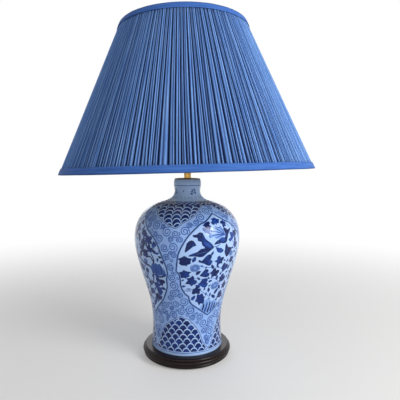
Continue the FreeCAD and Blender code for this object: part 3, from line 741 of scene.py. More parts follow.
class Painting:
    """Brushwork on the unrolled wall. A later stroke covers an earlier one.

    Spots are azimuths in degrees and lengths along the wall in mm.
    """

    ACROSS = 1.25     # mm of the unrolled sheet for a degree round the vase
    COLUMNS = 144
    ROW_MM = 4.0
    FAR = 180.0
    GROUND = 0.15     # the thin wash under the curls
    CLOSE_MM = 1e-5   # within which two corners of the sheet are one
    PLAIN = 0.65      # share of the fish scales without an inner line

    # Leaf outlines of one, two, three and four lobes, as shares of the length.
    LEAVES = (
        ((0.56, 0), (0.3, 0.2), (-0.1, 0.3), (-0.45, 0.12), (-0.5, 0), (-0.42, -0.14),
         (-0.1, -0.28), (0.3, -0.2)),
        ((0.62, 0), (0.34, 0.24), (0.1, 0.46), (-0.16, 0.52), (-0.4, 0.36), (-0.42, 0.14),
         (-0.26, 0), (-0.42, -0.16), (-0.38, -0.4), (-0.14, -0.5), (0.12, -0.42),
         (0.36, -0.2)),
        ((0.66, 0), (0.44, 0.15), (0.31, 0.26), (0.26, 0.54), (0.04, 0.43), (-0.16, 0.5),
         (-0.38, 0.45), (-0.46, 0.22), (-0.3, 0.03), (-0.46, -0.2), (-0.36, -0.46),
         (-0.14, -0.46), (0.05, -0.42), (0.26, -0.56), (0.31, -0.26), (0.44, -0.15)),
        ((0.52, 0.04), (0.38, 0.27), (0.32, 0.62), (0.09, 0.47), (-0.1, 0.6), (-0.36, 0.43),
         (-0.37, 0.12), (-0.56, 0.02), (-0.37, -0.1), (-0.32, -0.45), (-0.05, -0.45),
         (0.15, -0.63), (0.28, -0.31), (0.43, -0.15)),
    )

    def __init__(self, wall: Wall, seed: int) -> None:
        """Start with a bare wall.

        Args:
            wall: the wall that is painted.
            seed: where its chances start.
        """
        self.wall = wall
        self.random = random.Random(seed)
        self.points: list[Spot] = []
        self.faces: list[list[int]] = []
        self.inks: list[float] = []

    def raised(self, places: Spots) -> list[Spot]:
        """Turn heights above the ground to lengths along the wall."""
        return [(azimuth, self.wall.up_to(z)) for azimuth, z in places]

    def local(self, middle: Spot, x: float, y: float) -> Spot:
        """The spot that lies x mm to the right of a middle and y mm up the wall."""
        s = middle[1] + y
        return (middle[0] + math.degrees(x / self.wall.at(s)[0]), s)

    def oval(self, middle: Spot, across: float, up: float, count: int) -> list[Spot]:
        """So many spots round a middle, at a half width and a half height in mm."""
        return [self.local(middle, across * math.cos(a), up * math.sin(a))
                for a in (TURN * k / count for k in range(count))]

    def _face(self, corners: list[Spot], ink: float) -> None:
        """Lay one patch, and once more on the other side of the seam if it reaches it.

        Args:
            corners: the patch's corners.
            ink: how much cobalt it carries.
        """
        shifts = [0.0]
        if max(c[0] for c in corners) > self.FAR:
            shifts.append(-2 * self.FAR)
        if min(c[0] for c in corners) < -self.FAR:
            shifts.append(2 * self.FAR)
        area = sum(a[0] * b[1] - b[0] * a[1] for a, b in zip(corners, corners[1:] + corners[:1]))
        ordered = corners if area > 0 else corners[::-1]
        for shift in shifts:
            first = len(self.points)
            self.points += [((c[0] + shift) * self.ACROSS, c[1]) for c in ordered]
            self.faces.append(list(range(first, first + len(ordered))))
            self.inks.append(ink)

    def fill(self, outline: list[Spot], ink: Ink, fade: float = 1.0) -> None:
        """Fill an outline that doesn't cross itself."""
        self._face(outline, ink.value * fade)

    def stroke(self, line: list[Spot], width: float, ink: Ink, ends: Spot = (1.0, 1.0),
               inside: Callable[[Spot], bool] | None = None) -> None:
        """Draw a brush line.

        Args:
            line: the spots that it passes.
            width: its width in mm.
            ink: how much cobalt it carries.
            ends: the share of the width at its start and at its end.
            inside: a test of a spot, where the line is left out if it fails.
        """
        sides = []
        last = len(line) - 1
        for k, (azimuth, s) in enumerate(line):
            a, b = line[max(0, k - 1)], line[min(last, k + 1)]
            radius = self.wall.at(s)[0]
            dx = math.radians(b[0] - a[0]) * radius
            dy = b[1] - a[1]
            size = math.hypot(dx, dy) or 1.0
            share = k / last
            swell = lerp(*ends, share)
            swell += 4 * share * (1 - share) * (1 - swell)
            half = width * swell / 2
            across = math.degrees(-dy / size * half / radius)
            up = dx / size * half
            sides.append(((azimuth + across, s + up), (azimuth - across, s - up)))
        for k in range(last):
            middle = ((line[k][0] + line[k + 1][0]) / 2, (line[k][1] + line[k + 1][1]) / 2)
            if inside is None or inside(middle):
                (a, b), (d, c) = sides[k], sides[k + 1]
                self._face([a, b, c, d], ink.value)

    def border(self, outline: list[Spot], width: float, ink: Ink) -> None:
        """Draw round a closed outline."""
        self.stroke(outline + [outline[0]], width, ink)

    def scales(self, region: Region, size: float, margin: float = 0.0) -> None:
        """Fill a region with rows of upright fish scales.

        Args:
            region: where the scales show.
            size: half the width of a scale, in mm.
            margin: how far inside the region's left and right the rows begin, in degrees.
        """
        left, right = region.low[0] + margin, region.high[0] - margin
        pick = self.random
        rise = size * 1.22
        row = 0
        while region.low[1] + rise * row < region.high[1]:
            s = region.low[1] + rise * row
            pitch = math.degrees(2 * size / self.wall.at(s + rise / 2)[0])
            for k in range(-1, round((right - left) / pitch) + 2):
                middle = (left + pitch * (k + 0.5 * (row % 2)), s)
                wide = size * pick.uniform(0.93, 1.0)
                tall = rise * pick.uniform(1.0, 1.1)
                arc = [self.local(middle, wide * math.cos(a), tall * math.sin(a))
                       for a in (math.pi * step / 12 for step in range(13))]
                self.stroke(arc, size * 0.29, Ink.BARE, (0.22, 0.22), region.holds)
                if pick.random() < self.PLAIN:
                    continue
                inner = [self.local(middle, wide * 0.5 * math.cos(a),
                                    rise * 0.1 + tall * 0.42 * math.sin(a))
                         for a in (math.pi * (0.12 + 0.76 * step / 6) for step in range(7))]
                self.stroke(inner, size * 0.09, Ink.LINE, (0.5, 0.5), region.holds)
            row += 1

    def leaf(self, middle: Spot, length: float, turn: float, ink: Ink = Ink.NAVY,
             lobes: int = 3) -> None:
        """One pointed leaf with lobes, laid by a loaded brush.

        Args:
            middle: its middle.
            length: its length in mm.
            turn: where it points, in radians.
            ink: how much cobalt it carries.
            lobes: how many lobes it has.
        """
        pick = self.random
        shape = [(x * (1 + pick.uniform(-0.1, 0.1)), y * (1 + pick.uniform(-0.14, 0.14)))
                 for x, y in self.LEAVES[lobes - 1]]
        cos, sin = math.cos(turn), math.sin(turn)
        self.fill([self.local(middle, length * (x * cos - y * sin), length * (x * sin + y * cos))
                   for x, y in rounded(shape, 2, True)], ink, pick.uniform(0.86, 1.0))

    def flower(self, middle: Spot, size: float) -> None:
        """A small many-petalled flower: a pale wash with rings of petal arcs.

        Args:
            middle: its middle.
            size: half its width in mm.
        """
        rim = []
        for k in range(20):
            a = TURN * k / 20
            wave = 1 + 0.08 * math.sin(5 * a)
            rim.append(self.local(middle, size * wave * math.cos(a),
                                  size * 0.8 * wave * math.sin(a)))
        self.fill(rim, Ink.PALE, 0.8)
        bow = size * 0.24
        for ring, petals in ((1.0, 11), (0.66, 8), (0.34, 5)):
            for k in range(petals):
                a = TURN * (k + self.random.uniform(0, 0.3)) / petals
                cx, cy = size * ring * math.cos(a) * 0.86, size * ring * math.sin(a) * 0.7
                arc = [self.local(middle, cx + bow * math.cos(a + turn),
                                  cy + bow * math.sin(a + turn))
                       for turn in (-1.9, -1.0, 0.0, 1.0, 1.9)]
                self.stroke(arc, 0.75, Ink.BLUE, (0.5, 0.5))

    def sheet(self) -> tuple[list, list, list[float]]:
        """Cut the unrolled wall along every stroke.

        Returns:
            The spots of the sheet, its triangles and the ink of each triangle.
        """
        rows = round(self.wall.length / self.ROW_MM)
        grid = []
        for row in range(rows + 1):
            s = self.wall.length * row / rows
            for column in range(self.COLUMNS + 1):
                azimuth = lerp(-self.FAR, self.FAR, column / self.COLUMNS)
                grid.append((azimuth * self.ACROSS, s))
        stride = self.COLUMNS + 1
        seams = [(row * stride + side, (row + 1) * stride + side)
                 for row in range(rows) for side in (0, self.COLUMNS)]
        shift = len(grid)
        verts = [Vector(p) for p in grid + self.points]
        faces = [[i + shift for i in face] for face in self.faces]
        spots, _, triangles, _, _, covers = delaunay_2d_cdt(
            verts, seams, faces, 0, self.CLOSE_MM, True)
        edge = self.FAR * self.ACROSS
        kept, inks = [], []
        for triangle, cover in zip(triangles, covers):
            middle = sum(spots[i].x for i in triangle) / len(triangle)
            if abs(middle) < edge:
                kept.append(triangle)
                inks.append(self.inks[max(cover)] if cover else self.GROUND)
        return spots, kept, inks


@dataclass
class PanelScene:
    """What is painted in one panel.

    Places are azimuths from the panel's centre in degrees and heights above the ground in
    mm, and they are mirrored where hand is -1.
    """

    brush: Painting
    centre: float
    hand: int
    region: Region

    def at(self, azimuth: float, z: float) -> Spot:
        """The spot of the wall at a place."""
        return (self.centre + self.hand * azimuth, self.brush.wall.up_to(z))

    def smooth(self, places: Spots, steps: int, closed: bool) -> list[Spot]:
        """The spots of a smooth line through places."""
        return [(self.centre + self.hand * azimuth, s)
                for azimuth, s in rounded(self.brush.raised(places), steps, closed)]

    def shape(self, places: Spots, ink: Ink, steps: int = 2) -> None:
        """Fill the smooth outline through places."""
        self.brush.fill(self.smooth(places, steps, True), ink)

    def line(self, places: Spots, width: float, ink: Ink, ends: Spot = (0.5, 0.3)) -> None:
        """Draw the smooth line through places."""
        self.brush.stroke(self.smooth(places, 4, False), width, ink, ends)

    def leaf(self, azimuth: float, z: float, length: float, turn: float, lobes: int) -> None:
        """Lay a navy leaf that points along a turn in degrees."""
        angle = math.radians(turn if self.hand > 0 else 180 - turn)
        self.brush.leaf(self.at(azimuth, z), length, angle, Ink.NAVY, lobes)

    def fits(self, spot: Spot, reach: float) -> bool:
        """Whether a round motif of that reach lies inside the panel."""
        return all(self.region.holds(edge) for edge in self.brush.oval(spot, reach, reach, 8))


class BirdsAndLeaves(PanelScene):
    """The scene of the front panel: two birds over leaves and flowers, above a tuft."""

    STALKS = (((-26, 172), (-12, 166), (2, 164), (14, 158), (30, 163)),
              ((-30, 150), (-16, 147), (0, 146), (10, 138), (24, 140)),
              ((5, 98), (-4, 116), (-17, 128), (-20, 140), (-30, 152)),
              ((8, 100), (14, 118), (12, 136), (20, 156), (16, 176)))
    # Azimuth, height, length in mm before it grows, turn in degrees and lobes of a leaf.
    SPRAY = (
        (-34.7, 177.5, 12, 100, 4), (-26, 180, 7, 60, 1),
        (-11.6, 177.5, 12.5, 190, 2), (3, 175.2, 11, 250, 3), (-35.6, 155.9, 11, 100, 4),
        (-12.7, 155.8, 10.5, 200, 2), (-1.1, 155, 10.5, 240, 3),
        (-28.2, 144.8, 11, 210, 3), (-13.2, 140, 11.5, 190, 2), (13.3, 143.1, 10, 230, 3),
        (12.8, 161.6, 11, 250, 2), (-21.4, 127.1, 9.5, 90, 3),
        (-15, 112.7, 12, 200, 4), (18.3, 113.3, 10, 220, 2), (23, 172, 9, 260, 3),
        (27, 196, 9, 250, 3), (30, 150, 8.5, 240, 3), (22, 129, 9, 230, 3),
        (33, 178, 8, 260, 1), (26, 214, 9, 280, 3), (8, 122, 8, 60, 1),
        (26, 204, 8, 100, 1), (-21, 158, 6.5, 40, 1), (-5, 166, 6, 120, 1),
        (4, 146, 6, 80, 1), (-20, 135, 6, 150, 1), (-5, 127, 6, 100, 1),
        (21, 160, 6, 70, 1), (12, 128, 6, 130, 1), (-25, 115, 7, 60, 1),
        (4, 190, 6, 20, 1), (-7, 188, 5, 60, 1), (29, 165, 6, 110, 1),
        (5, 113, 7, 140, 1), (-5, 142, 5, 20, 1), (30, 140, 7, 240, 2),
        (11, 104, 7, 30, 1),
    )
    GROWTH = 1.42
    # Azimuth, height and size of a flower, and the room that it takes.
    FLOWERS = ((-24.8, 166, 7.0, 8.0), (3.7, 132.5, 7.6, 8.6), (20, 183, 4.6, 5.6))
    FILLER_TRIES = 1200
    FILLER_ROOM = 2.6     # mm, the least room for a small leaf
    FILLER_MM = 6.5       # mm, the longest small leaf

    def paint(self) -> None:
        """Paint the scene."""
        brush, hand = self.brush, self.hand
        for stalk in self.STALKS:
            self.line(stalk, 0.9, Ink.LINE)
        for azimuth, z, length, turn, lobes in self.SPRAY:
            self.leaf(azimuth, z, length * self.GROWTH, turn, lobes)
        for z, width in ((131, 3.2), (129, 4.6), (127, 3.0)):
            self.line([(-30.9 - width, z), (-30.9, z + 0.8), (-30.9 + width, z)], 1.3,
                      Ink.BLUE)
        for azimuth, z, size, _ in self.FLOWERS:
            brush.flower(self.at(azimuth, z), size)
        self._filler()

        self.shape([(-33.2, 205.8), (-29.9, 209.5), (-27.0, 208.7), (-24.1, 201.8),
                    (-27.0, 200.4), (-31.3, 195.2), (-35.5, 191.1), (-34.2, 201.3)],
                   Ink.NAVY)
        brush.leaf(self.at(-12.5, 224), 12, 0.9 if hand > 0 else 2.2, Ink.LINE, 4)
        brush.leaf(self.at(-9.0, 215.5), 8, 1.9 if hand > 0 else 1.2, Ink.PALE, 2)
        self.shape([(-27.9, 217.1), (-23.4, 218.1), (-21.3, 220.9), (-17.7, 220.0),
                    (-15.4, 212.5), (-12.9, 208.6), (-9.2, 204.4), (-5.8, 197.9),
                    (-8.0, 194.3), (-12.7, 189.4), (-16.7, 184.3), (-20.3, 183.5),
                    (-25.3, 185.0), (-32.2, 185.1), (-28.8, 189.0), (-23.0, 191.9),
                    (-19.6, 196.3), (-15.5, 197.5), (-18.6, 202.3), (-19.1, 206.8),
                    (-22.6, 208.5), (-23.0, 213.0), (-26.4, 213.8)], Ink.NAVY)
        self.shape([(-17, 206), (-13, 206.5), (-10, 203), (-8, 197.5), (-11, 196), (-14, 200)],
                   Ink.BLUE)
        for near, far in (((-21.2, 217.6), (-19.6, 217.4)), ((-24, 188), (-13, 192)),
                          ((-14, 204), (-9.5, 198))):
            self.line([near, far], 0.6, Ink.PALE)
        for leaf in ((-11.5, 231.0, 12, 185, 3), (0.0, 236.2, 12.5, 90, 4),
                     (9.8, 231.4, 11, 20, 3), (-4.5, 233.0, 7, 140, 1)):
            self.leaf(*leaf)
        self.shape([(9.3, 226.1), (13.8, 221.6), (19.3, 224.5), (17.3, 219.5), (13.8, 214.7),
                    (12.0, 208.8), (10.3, 202.9), (6.6, 201.6), (2.6, 202.7), (-1.1, 203.7),
                    (-5.3, 201.6), (-3.8, 205.2), (-0.5, 207.8), (2.7, 208.9), (6.8, 209.7),
                    (8.8, 212.5), (7.9, 217.2), (7.3, 222.6)], Ink.NAVY)
        self.shape([(-3.1, 205), (-0.5, 208.0), (3.3, 211.2), (8.2, 210.4), (8.6, 206.1),
                    (5.2, 204.1), (-0.5, 204)], Ink.BLUE)
        self.shape([(8.8, 219), (4.5, 228.5), (0.5, 225.6), (-6.5, 228.6), (-4.6, 223.4),
                    (-10.6, 223), (-6.4, 218.2), (-10.0, 214.8), (-4.6, 213.0), (-4.0, 209.6),
                    (2.5, 210.8), (8.6, 213.4)], Ink.WASH)
        for tip in ((3.6, 226.0), (-5.0, 227.0), (-8.8, 222.4), (-8.2, 215.2), (-3.4, 210.8)):
            self.line([(8.4, 214.5), (lerp(8.4, tip[0], 0.5), lerp(214.5, tip[1], 0.5) + 1.2),
                       tip], 1.5, Ink.BLUE, (0.9, 0.25))
        self.shape([(-5.9, 201.2), (-3.6, 204.6), (-1.6, 207.6), (1.6, 207.4), (2.8, 204.6),
                    (1.0, 202.0), (-2.4, 201.8)], Ink.NAVY, 3)
        self.line([(-1.2, 204.9), (0.4, 205.1)], 0.7, Ink.PALE)
        self.shape([(-3.5, 197.5), (0.2, 195.7), (3.8, 194.7), (5.4, 190.4), (3.4, 186.9),
                    (-1.3, 189.3), (-2.7, 193.5)], Ink.BLUE)
        self.shape([(9.5, 201.5), (13.8, 194.2), (20.3, 192.7), (17.5, 185.2), (12.6, 178.3),
                    (8.2, 187.5), (8.5, 191.4)], Ink.NAVY)
        self.shape([(16.2, 216.6), (21.0, 216.5), (24.5, 211.0), (20.8, 205.4), (16.0, 202.5),
                    (13.5, 207.0), (17.6, 209.3)], Ink.BLUE)
        for points in ([(-3, 229), (1, 226), (5, 228)], [(-11, 226), (-8, 222), (-9, 218)],
                       [(-5.8, 197.9), (-1, 199), (2, 202)], [(10, 236), (15, 230), (18, 225)],
                       [(20, 204), (24, 198), (25, 190)], [(20, 232), (24, 222), (22, 214)]):
            self.line(points, 1.3, Ink.BLUE)

        self.shape([(-16, 93.5), (-9.9, 103.7), (-3.8, 111.4), (3, 105), (9, 107), (15, 101),
                    (20.5, 91.6), (11.1, 84.5), (0, 81.5), (-5.2, 85)], Ink.WASH)
        for k in range(6):
            x = -10.5 + 5.0 * k
            top = 106.5 - 0.9 * abs(k - 1.5) * 2
            self.shape([(x - 1.9, 88 + abs(x) * 0.3), (x + 0.4, 97), (x + 1.2, top),
                        (x + 3.2, top - 4), (x + 2.4, 94), (x + 0.6, 86 + abs(x) * 0.3)],
                       Ink.BLUE if k % 2 else Ink.NAVY)

    def _filler(self) -> None:
        """Drop small leaves where the spray leaves room."""
        brush, pick = self.brush, self.brush.random
        taken = [(a, z, 0.7 * length) for a, z, length, _, _ in self.SPRAY]
        taken += [(a, z, room) for a, z, _, room in self.FLOWERS] + [(-31, 129, 5.0)]
        for _ in range(self.FILLER_TRIES):
            azimuth, z = pick.uniform(-38, 34), pick.uniform(108, 192)
            spot = self.at(azimuth, z)
            radius = brush.wall.at(spot[1])[0]
            room = min(math.hypot(math.radians(azimuth - a) * radius, z - height) - reach
                       for a, height, reach in taken)
            under_birds = z > 178 and azimuth < 14
            if room < self.FILLER_ROOM or under_birds or not self.region.holds(spot):
                continue
            size = min(self.FILLER_MM, room * 1.8)
            taken.append((azimuth, z, 0.55 * size))
            brush.leaf(spot, size, pick.uniform(0, TURN), pick.choice((Ink.NAVY, Ink.BLUE)), 1)


class BranchesAndRock(PanelScene):
    """The denser scene of the side panel: branches in leaf beside a rock."""

    TRUNKS = (
        [(-3.6, 177), (0, 172), (7.1, 166.5), (16.3, 163.0), (18.8, 151.2), (15.6, 136)],
        [(21.1, 185), (23.5, 173.6), (17.9, 163.4)],
        [(13, 178), (19, 180), (22.5, 172)],
        [(-3.6, 177), (-14, 184), (-18, 198), (-10, 212), (-14, 226)],
        [(15.6, 136), (6, 128), (2, 112), (-6, 98)],
        [(-14, 184), (-28, 176), (-34, 160)],
        [(2, 128), (-12, 124), (-22, 110)],
    )
    LEAVES = (
        (2.5, 231.8), (-4.2, 222.7), (-6.2, 213.6), (10.9, 215.0), (17.0, 207.0),
        (1.6, 208.1), (9.5, 201.2), (20.3, 206.2), (25.2, 200.1), (7.9, 190.6),
        (19.3, 192.8), (24.7, 188.6), (12, 184), (31.4, 181.1), (33, 174),
        (-0.6, 158.0), (9.2, 154.9), (-0.4, 142.5), (23.2, 143.9), (29, 139.4),
        (20.5, 132.5), (29.9, 128.6), (22.7, 122.9), (8.8, 119.2), (17.7, 111.7),
        (-5.7, 109.0), (8.4, 100.0), (-2.5, 88.8), (8.3, 134.4), (15, 222),
        (-14, 232), (-18, 216), (-28, 198), (-22, 190), (-6, 190), (-10, 176),
        (-24, 166), (-34, 184), (-20, 150), (-34, 146), (-28, 132), (-12, 138),
        (-24, 120), (-16, 106), (-8, 120), (31, 190), (3, 181), (26, 212), (12, 106),
    )

    def paint(self) -> None:
        """Paint the scene."""
        brush, pick = self.brush, self.brush.random
        for k, trunk in enumerate(self.TRUNKS):
            self.line(trunk, 3.6 if k == 0 else 2.6, Ink.NAVY, (0.8, 0.5))
        self.shape([(16.5, 160), (19, 166), (24, 170.5), (28, 169), (31, 170.1), (34.4, 160.4),
                    (37, 154), (30, 151), (22.1, 151)], Ink.LINE)
        for k in range(5):
            x = 19.5 + 3.6 * k
            self.line([(x, 152), (x + 1.8, 159), (x + 0.6, 167 - abs(k - 2))], 1.3,
                      Ink.NAVY if k % 2 else Ink.BLUE, (0.8, 0.4))
        self.line([(20, 151.2), (26, 148.6), (31, 149), (38.0, 153.9)], 3.0, Ink.NAVY, (0.6, 0.8))
        self.shape([(-12, 160), (-4, 168), (2, 162), (1, 152), (-6, 148), (-12, 152)],
                   Ink.WASH, 3)
        for azimuth, z, size in ((-6, 158, 6.5), (-24, 208, 6.0), (10, 171, 4.6)):
            brush.flower(self.at(azimuth, z), size)
        for azimuth, z in self.LEAVES:
            spot = self.at(azimuth + pick.uniform(-1, 1), z)
            size = pick.uniform(9.0, 13.5)
            while size > 4 and not self.fits(spot, size * 0.58):
                size *= 0.85
            brush.leaf(spot, size, pick.uniform(0, TURN), Ink.NAVY, pick.choice((1, 2, 3, 4)))
            for _ in range(2):
                spot = self.at(azimuth + pick.uniform(-7, 7), z + pick.uniform(-7, 7))
                turn, ink = pick.uniform(0, TURN), pick.choice((Ink.NAVY, Ink.BLUE))
                if self.fits(spot, 3.8):
                    brush.leaf(spot, 6.5, turn, ink, 1)


@dataclass
class Decoration:
    """The traditional blue and white scheme: bird and leaf panels on a ground of curls,
    with lappets of fish scales hanging from the neck and rising from the foot.
    """

    brush: Painting
    panels: list[Region] = field(default_factory=list)
    lappets: list[Region] = field(default_factory=list)

    # Outlines as azimuth in degrees and height in mm above the ground.
    PANEL = (
        ((0, 247), (-13, 236), (-20, 231.9), (-31.5, 216.7), (-37.8, 202), (-42, 187.9),
         (-43.5, 174.6), (-44.9, 161)),
        ((-44.9, 161), (-41.9, 155.7), (-40.9, 147.3), (-40.3, 135.2), (-36.4, 123.8),
         (-31.2, 118)),
        ((-31.2, 118), (-28.2, 106.1), (-18.3, 96.6), (-0.7, 81.9)),
    )
    SIDE_PANEL = (
        ((0, 241), (7, 233), (16, 221.4), (27.3, 207), (33.6, 186.1), (37.8, 166.6),
         (38.6, 155)),
        ((38.6, 155), (36.6, 146), (36.2, 138.6), (34.9, 129), (26.6, 109.7), (16, 96.8),
         (0.7, 80.4)),
    )
    TOP_LAPPET = (
        (-55.6, 262.4), (-47, 255.6), (-33.3, 250), (-26.5, 244.2), (-17.9, 237.7),
        (-10.2, 232), (-4.7, 228.5), (0, 226.6), (3.6, 229), (7.4, 233.6), (14, 238.3),
        (19.9, 242.9), (25.8, 248.9), (33.5, 255.5), (43.4, 259.7), (55, 262.4),
    )
    FOOT_LAPPET = (
        (-46, 23), (-42, 30), (-35.8, 49.4), (-30.1, 60.7), (-16.5, 73.5), (-8, 78.6),
        (0, 82.8), (6, 80), (12.5, 77.2), (23.2, 65.3), (30.2, 53.3), (36, 38), (42, 29),
        (46, 23),
    )

    # The panels' and the lappets' centres, mirrored where the second value is -1.
    FRONTS = ((33.0, 1), (-147.0, -1))
    SIDES = ((-60.5, 1), (118.0, -1))
    GAPS = ((-12.6, 1), (77.4, -1), (167.4, 1), (-102.6, -1))

    # Tries at placing a curl, and the least and the greatest radius in mm they may give.
    CURL_STAGES = ((5000, 6.0, 8.0), (2000, 4.2, 8.0), (3000, 4.2, 5.0), (6000, 2.4, 5.0))
    CURL_ROOM = 2.2      # mm, below which a place isn't looked at further
    CURL_LOOP = 4.0      # mm, above which a curl is a large one
    LARGE_CURL = (1.9, 26, 1.55)     # turns, steps and width in mm
    SMALL_CURL = (1.35, 15, 1.1)
    LINK = 16            # mm, the longest stroke that links two curls
    GIRTH = 75.0         # mm, the vase's mean radius
    RIM_JUMP = 25.0      # mm, a step that leads from one outline to the next

    def panel(self, half: tuple, centre: float) -> None:
        """Clear a panel in the ground, given its left or right half, lobe by lobe.

        Args:
            half: the lobes, each as places from tip to foot.
            centre: the azimuth of the panel's middle.
        """
        side = []
        for lobe in half:
            side += rounded(self.brush.raised(lobe), 4, False)[:-1]
        tip, foot = self.brush.raised((half[0][0], half[-1][-1]))
        other = [(-azimuth, s) for azimuth, s in side[1:]]
        shape = [tip] + side[1:] + [(0.0, foot[1])] + other[::-1]
        self.panels.append(Region([(centre + azimuth, s) for azimuth, s in shape]))
        self.brush.fill(self.panels[-1].outline, Ink.BARE)

    def lappet(self, shape: Spots, centre: float, size: float) -> None:
        """One lappet of fish scales with its double edge.

        Args:
            shape: its outline, as places from its middle.
            centre: the azimuth of its middle.
            size: half the width of a scale.
        """
        outline = [(centre + azimuth, s)
                   for azimuth, s in rounded(self.brush.raised(shape), 3, True)]
        region = Region(outline)
        self.lappets.append(region)
        self.brush.fill(outline, Ink.NAVY, 0.94)
        self.brush.scales(region, size)
        self.brush.border(outline, 3.0, Ink.BARE)
        self.brush.border(outline, 1.1, Ink.BLUE)

    def _rims(self) -> KDTree:
        """The edges of the panels and the lappets, as points in space.

        Returns:
            A search tree of the points, in mm.
        """
        rims = [spot for region in self.panels + self.lappets for spot in region.outline]
        dense = []
        for a, b in zip(rims, rims[1:]):
            span = math.hypot(math.radians(b[0] - a[0]) * self.GIRTH, b[1] - a[1])
            count = 1 if span > self.RIM_JUMP else max(1, round(span / 2))
            dense += [(lerp(a[0], b[0], k / count), lerp(a[1], b[1], k / count))
                      for k in range(count)]
        tree = KDTree(len(dense))
        for k, spot in enumerate(dense):
            tree.insert(self.brush.wall.in_space(*spot), k)
        tree.balance()
        return tree

    def _curl_places(self) -> list[tuple[Vector, float, Spot]]:
        """Find room for the curls, the large ones first.

        Returns:
            Each curl's middle in space, its radius in mm and its middle on the wall.
        """
        wall, pick = self.brush.wall, self.brush.random
        rims = self._rims()
        low, high = wall.up_to(24.5), wall.up_to(262)
        placed = []
        for least, most in ((a, b) for tries, a, b in self.CURL_STAGES for _ in range(tries)):
            azimuth = pick.uniform(-180, 180)
            s = pick.uniform(low, high)
            here = wall.in_space(azimuth, s)
            room = min(rims.find(here)[2] - 1.0, s - low, high - s)
            if room < self.CURL_ROOM or any(region.holds((azimuth, s))
                                            for region in self.panels + self.lappets):
                continue
            for other, radius, _ in placed:
                room = min(room, (here - other).length - radius + 0.8)
                if room < self.CURL_ROOM:
                    break
            if room >= least:
                placed.append((here, min(room, most), (azimuth, s)))
        return placed

    def curls(self) -> None:
        """Fill what is left of the ground with linked spiral curls."""
        brush, pick = self.brush, self.brush.random
        placed = self._curl_places()
        for here, radius, spot in placed:
            start = pick.uniform(0, TURN)
            hand = pick.choice((-1, 1))
            turns, count, width = (self.LARGE_CURL if radius > self.CURL_LOOP
                                   else self.SMALL_CURL)
            line = []
            for step in range(count + 1):
                share = step / count
                reach = radius * (1 - 0.84 * share)
                angle = start + hand * TURN * turns * share
                line.append(brush.local(spot, reach * math.cos(angle), reach * math.sin(angle)))
            brush.stroke(line, width, Ink.LINE, (0.8, 0.9))
            near = min((other for other in placed if other[2] != spot),
                       key=lambda o: abs((o[0] - here).length - radius - o[1]))
            begin = line[0]
            dx = math.radians(near[2][0] - begin[0]) * brush.wall.at(begin[1])[0]
            dy = near[2][1] - begin[1]
            reach = math.hypot(dx, dy)
            if reach < self.LINK:
                share = max(0.0, 1 - near[1] / max(reach, 0.1))
                middle = brush.local(begin, dx * share * 0.5 - dy * 0.12,
                                     dy * share * 0.5 + dx * 0.12)
                end = brush.local(begin, dx * share, dy * share)
                brush.stroke([begin, middle, end], 1.15, Ink.LINE, (0.9, 0.5))

    def neck(self) -> None:
        """The lines round foot and lip, the dots and flowers of the neck and its dashes."""
        brush, wall = self.brush, self.brush.wall
        for z, width, ink in ((288.2, 1.0, Ink.LINE), (262.8, 1.1, Ink.BLUE),
                              (22.6, 0.8, Ink.LINE), (295.6, 0.5, Ink.PALE)):
            line = [(-200 + 5.0 * k, wall.up_to(z) + 0.2 * math.sin(k * 0.9)) for k in range(81)]
            brush.stroke(line, width, ink)
        for k in range(4):
            azimuth = -17.5 + 90 * k
            brush.fill(brush.oval((azimuth, wall.up_to(279)), 1.0, 1.1, 9), Ink.NAVY)
            heart = (azimuth + 45, wall.up_to(279.4))
            for j in range(6):
                turn = TURN * j / 6 + 0.3
                petal = brush.local(heart, 3.1 * math.cos(turn), 2.8 * math.sin(turn))
                brush.leaf(petal, 3.7, turn, Ink.NAVY if j % 2 else Ink.BLUE, 1)
            brush.leaf((azimuth + 35, wall.up_to(275.0)), 5.0, 2.4, Ink.BLUE, 1)
            brush.leaf((azimuth + 54, wall.up_to(276.0)), 4.4, 0.6, Ink.LINE, 1)
        for k in range(26):
            spot = (-180 + 360 * (k + brush.random.uniform(0, 0.4)) / 26, wall.up_to(268.3))
            brush.stroke([brush.local(spot, x, y) for x, y in ((-1.5, -0.5), (0, 0.5), (1.6, 0))],
                         1.2, Ink.BLUE, (0.5, 0.4))

    def collar(self) -> None:
        """The ring of small scales round the root of the neck, over the lappets."""
        low, high = (self.brush.wall.up_to(z) for z in (258.6, 263.4))
        ring = [(-200.0 + 400 * k / 160, lerp(low, high, 0.5)) for k in range(161)]
        self.brush.stroke(ring, (high - low) * 1.06, Ink.NAVY)
        whole = Region([(-181.0, low), (181.0, low), (181.0, high), (-181.0, high)])
        self.brush.scales(whole, 4.4, margin=1.0)

    def paint(self) -> None:
        """Paint the whole vase."""
        wall = self.brush.wall
        for half, centres in ((self.PANEL, self.FRONTS), (self.SIDE_PANEL, self.SIDES)):
            for azimuth, _ in centres:
                self.panel(half, azimuth)
        for azimuth, hand in self.GAPS:
            for shape, centre, size in ((self.TOP_LAPPET, azimuth, 6.6),
                                        (self.FOOT_LAPPET, azimuth + 2.9, 6.3)):
                self.lappet([(hand * a, z) for a, z in shape], centre, size)
        self.curls()
        for low, high in ((0.0, wall.up_to(24.2)), (wall.up_to(263.2), wall.length)):
            self.brush.fill([(-190, low), (190, low), (190, high), (-190, high)], Ink.BARE)
        scenes = [BirdsAndLeaves] * 2 + [BranchesAndRock] * 2
        for scene, (centre, hand), region in zip(scenes, self.FRONTS + self.SIDES, self.panels):
            scene(self.brush, centre, hand, region).paint()
        for region in self.panels:
            self.brush.border(region.outline, 3.4, Ink.WASH)
            self.brush.border(region.outline, 1.8, Ink.NAVY)
        self.collar()
        self.neck()


